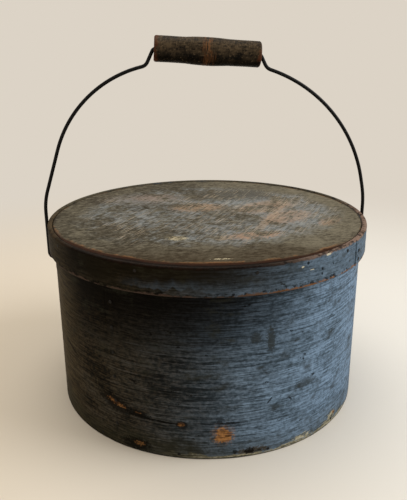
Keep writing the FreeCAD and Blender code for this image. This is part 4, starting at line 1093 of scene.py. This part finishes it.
def half_bail(side):
    """One half from its foot to the riser beside the grip, as points and the grip's corner."""
    lean_start, sway, rise, run, crown, knee, lift = HALVES[side]
    foot, top = complex(LEG_X, PIVOT_HEIGHT / MM), complex(LEG_X, LID_TOP / MM + lean_start)
    lean = cmath.rect(1, math.asin(rise / sway))
    sway_end = top - sway + sway * lean
    run_end = sway_end + run * 1j * lean
    middle = run_end - crown * lean
    corner = complex(GRIP_SEAT + side * GRIP_SHIFT, middle.imag + crown + lift)
    to_bend = knee * 1j * RISER
    gap = corner + to_bend - middle
    along = dot(gap, RISER)
    fall = -along - math.sqrt(along ** 2 - abs(gap) ** 2 + (crown + knee) ** 2)
    riser = corner + fall * RISER
    bend = riser + to_bend
    crown_end = middle + (bend - middle) * crown / (crown + knee)
    path = [foot - FOOT_BEND - FOOT_INSIDE, foot - FOOT_BEND]
    path += arc(foot - FOOT_BEND, foot + 1j * FOOT_BEND, foot + FOOT_BEND * (1j - 1), 0.6)
    path += [complex(LEG_X, h) for h in np.arange(foot.imag + FOOT_BEND + 2, top.imag - 1, 2)]
    path += [top] + arc(top, sway_end, top - sway)
    steps = np.linspace(0, 1, max(2, int(run / 2)))[1:]
    path += [sway_end + (run_end - sway_end) * s for s in steps]
    path += arc(run_end, crown_end, middle) + arc(crown_end, riser, bend, 0.6)
    return [mirror(p, side) for p in path], mirror(corner, side)


def shoulder(corner, side, inward):
    """The small bend where the wire enters the grip."""
    down = mirror(RISER, side)
    reach = SHOULDER * math.tan(math.acos(-dot(down, inward)) / 2)
    low, high = corner + down * reach, corner + inward * reach
    normal = (inward + down) / abs(inward + down)
    return [low] + arc(low, high, corner + normal * math.hypot(reach, SHOULDER), 0.5)


def whole_bail():
    """The path from the left hammered end to the right one, with the radius at each point."""
    left, left_corner = half_bail(-1)
    right, right_corner = half_bail(1)
    across = (right_corner - left_corner) / abs(right_corner - left_corner)
    left += shoulder(left_corner, -1, across)
    right += shoulder(right_corner, 1, -across)
    top = [left[-1] + (right[-1] - left[-1]) * s for s in np.linspace(0, 1, 40)[1:-1]]
    path = [(p.real, p.imag, WIRE_RADIUS) for p in left + top + right[::-1]]
    ends = [(PEEN_START - depth, PIVOT_HEIGHT / MM, radius) for depth, radius in PEEN_OUTLINE]
    whole = [(-x, z, r) for x, z, r in ends] + path + ends[::-1]
    return whole, (left_corner + right_corner) / 2, across


BAIL_PATH, GRIP_CENTRE, GRIP_SLOPE = whole_bail()
print("wire path", len(BAIL_PATH), "points, grip's middle at", GRIP_CENTRE)


# %% Tree for the wire
def make_wire_tree():
    nodes, given, result = new_tree("bent_wire", [
        ("Sides", "Int", 20), ("Hammer depth", "Float", 0.00006), ("Hammer size", "Float", 160.0),
        ("Seed", "Float", 3.0), ("Finish", "Material", None)])
    line = nodes.add("GeometryNodeMeshToCurve", {0: given["Geometry"]})[0]
    thick = nodes.add("GeometryNodeInputNamedAttribute", {"Name": "thickness"},
                      data_type="FLOAT")[0]
    section = nodes.add("GeometryNodeCurvePrimitiveCircle", {"Resolution": given["Sides"],
                        "Radius": 1.0})[0]
    tube = nodes.add("GeometryNodeCurveToMesh", {"Curve": line, "Profile Curve": section,
                     "Scale": thick, "Fill Caps": True})[0]
    rough = nodes.add("ShaderNodeTexNoise", {"W": given["Seed"], "Scale": given["Hammer size"],
                      "Detail": 2.0}, noise_dimensions="4D")[0]
    push = nodes.times(rough, nodes.times(given["Hammer depth"], -1.0))
    normal = nodes.add("GeometryNodeInputNormal")[0]
    offset = nodes.add("ShaderNodeVectorMath", {0: normal, "Scale": push}, operation="SCALE")[0]
    moved = nodes.add("GeometryNodeSetPosition", {"Geometry": tube, "Offset": offset})[0]
    smooth = nodes.add("GeometryNodeSetShadeSmooth", {0: moved})[0]
    return make_real(nodes, smooth, given["Finish"], result)


def make_wire():
    start = bpy.data.meshes.new("wire_path")
    points = [(x * MM, 0, z * MM) for x, z, _ in BAIL_PATH]
    start.from_pydata(points, [(i, i + 1) for i in range(len(points) - 1)], [])
    thick = start.attributes.new("thickness", "FLOAT", "POINT")
    thick.data.foreach_set("value", [r * MM for _, _, r in BAIL_PATH])
    return grow("bail_wire_bent", make_wire_tree(), {"Sides": 20, "Hammer depth": 0.05 * MM,
                "Finish": WIRE_FINISH}, start)


wire = make_wire()
place_piece(wire, "bail", "black_iron_wire", "bail_wire")

# %% [markdown]
# ## The grip
#
# The grip was turned from one stick and bored through. It swells a little in the middle, its
# ends are rounded, and years of carrying have rubbed its dark paint to orange-brown wood at the
# swell and round the ends. Its underside is darkened to nearly black: painted shade. A profile
# curve with a Screw modifier would turn it, but the profile is carried round here as a grid, so
# that small dents and flats can break the perfect circle.

# %% Grip
GRIP_HALF, GRIP_END, GRIP_SWELL, SWELL_HALF, GRIP_ROUND = 50.2, 12.3, 0.8, 20.0, 2.0
BORE_LIMIT = 9  # points nearer the axis belong to the bore and stay true
GRIP_MIDDLE = Vector((GRIP_CENTRE.real * MM, 0, GRIP_CENTRE.imag * MM))
GRIP_AXIS = Vector((GRIP_SLOPE.real, 0, GRIP_SLOPE.imag))
BORE = [(GRIP_HALF, 7.0), (GRIP_HALF, 3.8), (48, 2.6), (45.7, 2.0), (0, 2.0), (-45.7, 2.0),
        (-48, 2.6), (-GRIP_HALF, 3.8), (-GRIP_HALF, 7.0)]


def grip_profile():
    """Distance along the grip and radius, from the left mouth round to the bore again."""
    shoulder_at = GRIP_HALF - GRIP_ROUND
    along = np.linspace(-shoulder_at, shoulder_at, 170)
    bulge = (SWELL_HALF ** 2 + GRIP_SWELL ** 2) / (2 * GRIP_SWELL)
    inside = np.clip(bulge ** 2 - along ** 2, 0, None)
    radius = GRIP_END + np.clip(np.sqrt(inside) - (bulge - GRIP_SWELL), 0, None)
    left = [(-shoulder_at - GRIP_ROUND * math.cos(q), GRIP_END - GRIP_ROUND * (1 - math.sin(q)))
            for q in np.linspace(0, math.pi / 2, 7)[:-1]]
    right = [(-s, r) for s, r in left[::-1]]
    return np.array(BORE[-2:] + left + list(zip(along, radius)) + right + BORE[:-2])


def make_grip(material, turns=112):
    along, radius = grip_profile().T
    angle = np.linspace(0, 2 * math.pi, turns, endpoint=False)[:, None]
    wavy = waves(53, angle, along * MM, 14, (1, 5), (18 * MM, 90 * MM))
    rings = waves(54, 0 * angle, along * MM, 16, (0, 1), (1.6 * MM, 5 * MM))
    uneven = 0.09 * wavy + 0.035 * rings
    worn = radius + (uneven - uneven.max()) * (radius > BORE_LIMIT)
    side = GRIP_AXIS.cross(Vector((0, 1, 0)))
    grid = (np.array(GRIP_MIDDLE) + MM * (along[None, :, None] * np.array(GRIP_AXIS)
            + (worn * np.cos(angle))[..., None] * np.array((0, 1, 0))
            + (worn * np.sin(angle))[..., None] * np.array(side)))
    return ring_piece("bail_grip_turned", grid, material, 40)


def grip_finish():
    wood = Finish("dark_turned_wood", 0.42)
    away = wood.vector("SUBTRACT", wood.place, tuple(GRIP_MIDDLE))
    level = {"Vector": away, "Rotation": (0, math.asin(GRIP_AXIS.z), 0)}
    wood.place = wood.add("ShaderNodeMapping", level)[0]
    along, _, across = wood.add("ShaderNodeSeparateXYZ", {0: wood.place})
    grain, rings = wood.noise((60, 420, 420), 6, 0.65), wood.noise((900, 60, 60), 3, 0.6)
    cloud, specks = wood.noise(110, 6, 0.68), wood.noise(520, 2, 0.6)
    tone = wood.scatter(0.55, (grain, 1.4), (cloud, 1.8), (specks, 1.4))
    wood.colour = wood.ramp(tone, paint(14, 11, 8), paint(72, 60, 44))
    # painted shade: the underside is darkened to nearly black, as if the light came from above
    below = wood.between(wood.scatter(across, (cloud, 0.012)), 4 * MM, -8 * MM)
    wood.coat(below, 0.85, paint(5, 4, 3))
    wood.coat(wood.between(specks, 0.62, 0.72), 0.35, paint(120, 102, 80))
    far = wood.scatter(wood.calc("ABSOLUTE", along), (cloud, 22 * MM))
    wood.coat(wood.between(far, 46 * MM, 50 * MM), 0.6, paint(84, 44, 24))
    swell = wood.calc("ABSOLUTE", wood.calc("ADD", along, 0.5 * MM))
    swell = wood.times(wood.between(wood.scatter(swell, (cloud, 28.6 * MM)), 7.5 * MM, -2.0 * MM),
                       wood.between(wood.scatter(rings, (cloud, 0.8)), 0.36, 0.62))
    wood.coat(swell, 0.9, paint(116, 76, 44))
    height = wood.calc("MULTIPLY_ADD", rings, 0.4, wood.times(grain, 0.6))
    wood.close(height, 0.4 * MM, 0.06, wood.calc("MULTIPLY_ADD", cloud, 0.35, 0.28))
    return wood.material


grip = make_grip(grip_finish())
place_piece(grip, "grip", "dark_turned_wood", "bail_grip")

# %% [markdown]
# ## Ears and washers
#
# Small iron plates on the outside carry the bail, and washers inside keep the hammered ends of
# the wire from pulling through. Their CAD shapes are right, but their edges are knife-sharp. A
# copy of each is merged into a closed mesh and given a Bevel, so that the edges catch light as
# filed iron does.

# %% Ears and washers
FILED_EDGE, WELD_GAP, SHARP = 0.3 * MM, 0.00001, math.radians(50)


def soften_edges(node):
    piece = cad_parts[node].copy()
    piece.data = piece.data.copy()
    piece.name = node + "_filed"
    piece.parent = None
    for key in list(piece.keys()):
        del piece[key]
    scene.collection.objects.link(piece)
    weld = piece.modifiers.new("weld", "WELD")
    weld.merge_threshold = WELD_GAP
    bevel = piece.modifiers.new("bevel", "BEVEL")
    bevel.width, bevel.segments = FILED_EDGE, 2
    bevel.limit_method, bevel.angle_limit = "ANGLE", SHARP
    keep_result(piece)
    piece.data.materials.clear()
    piece.data.materials.append(PLATE_FINISH)
    piece.data.shade_smooth()
    piece.data.set_sharp_from_angle(angle=SHARP)
    return piece


for side in ("left", "right"):
    for node in (f"ear_plate_{side}", f"pivot_washer_{side}"):
        place_piece(soften_edges(node), "box", "iron_plate", node)

# %% [markdown]
# ## The end
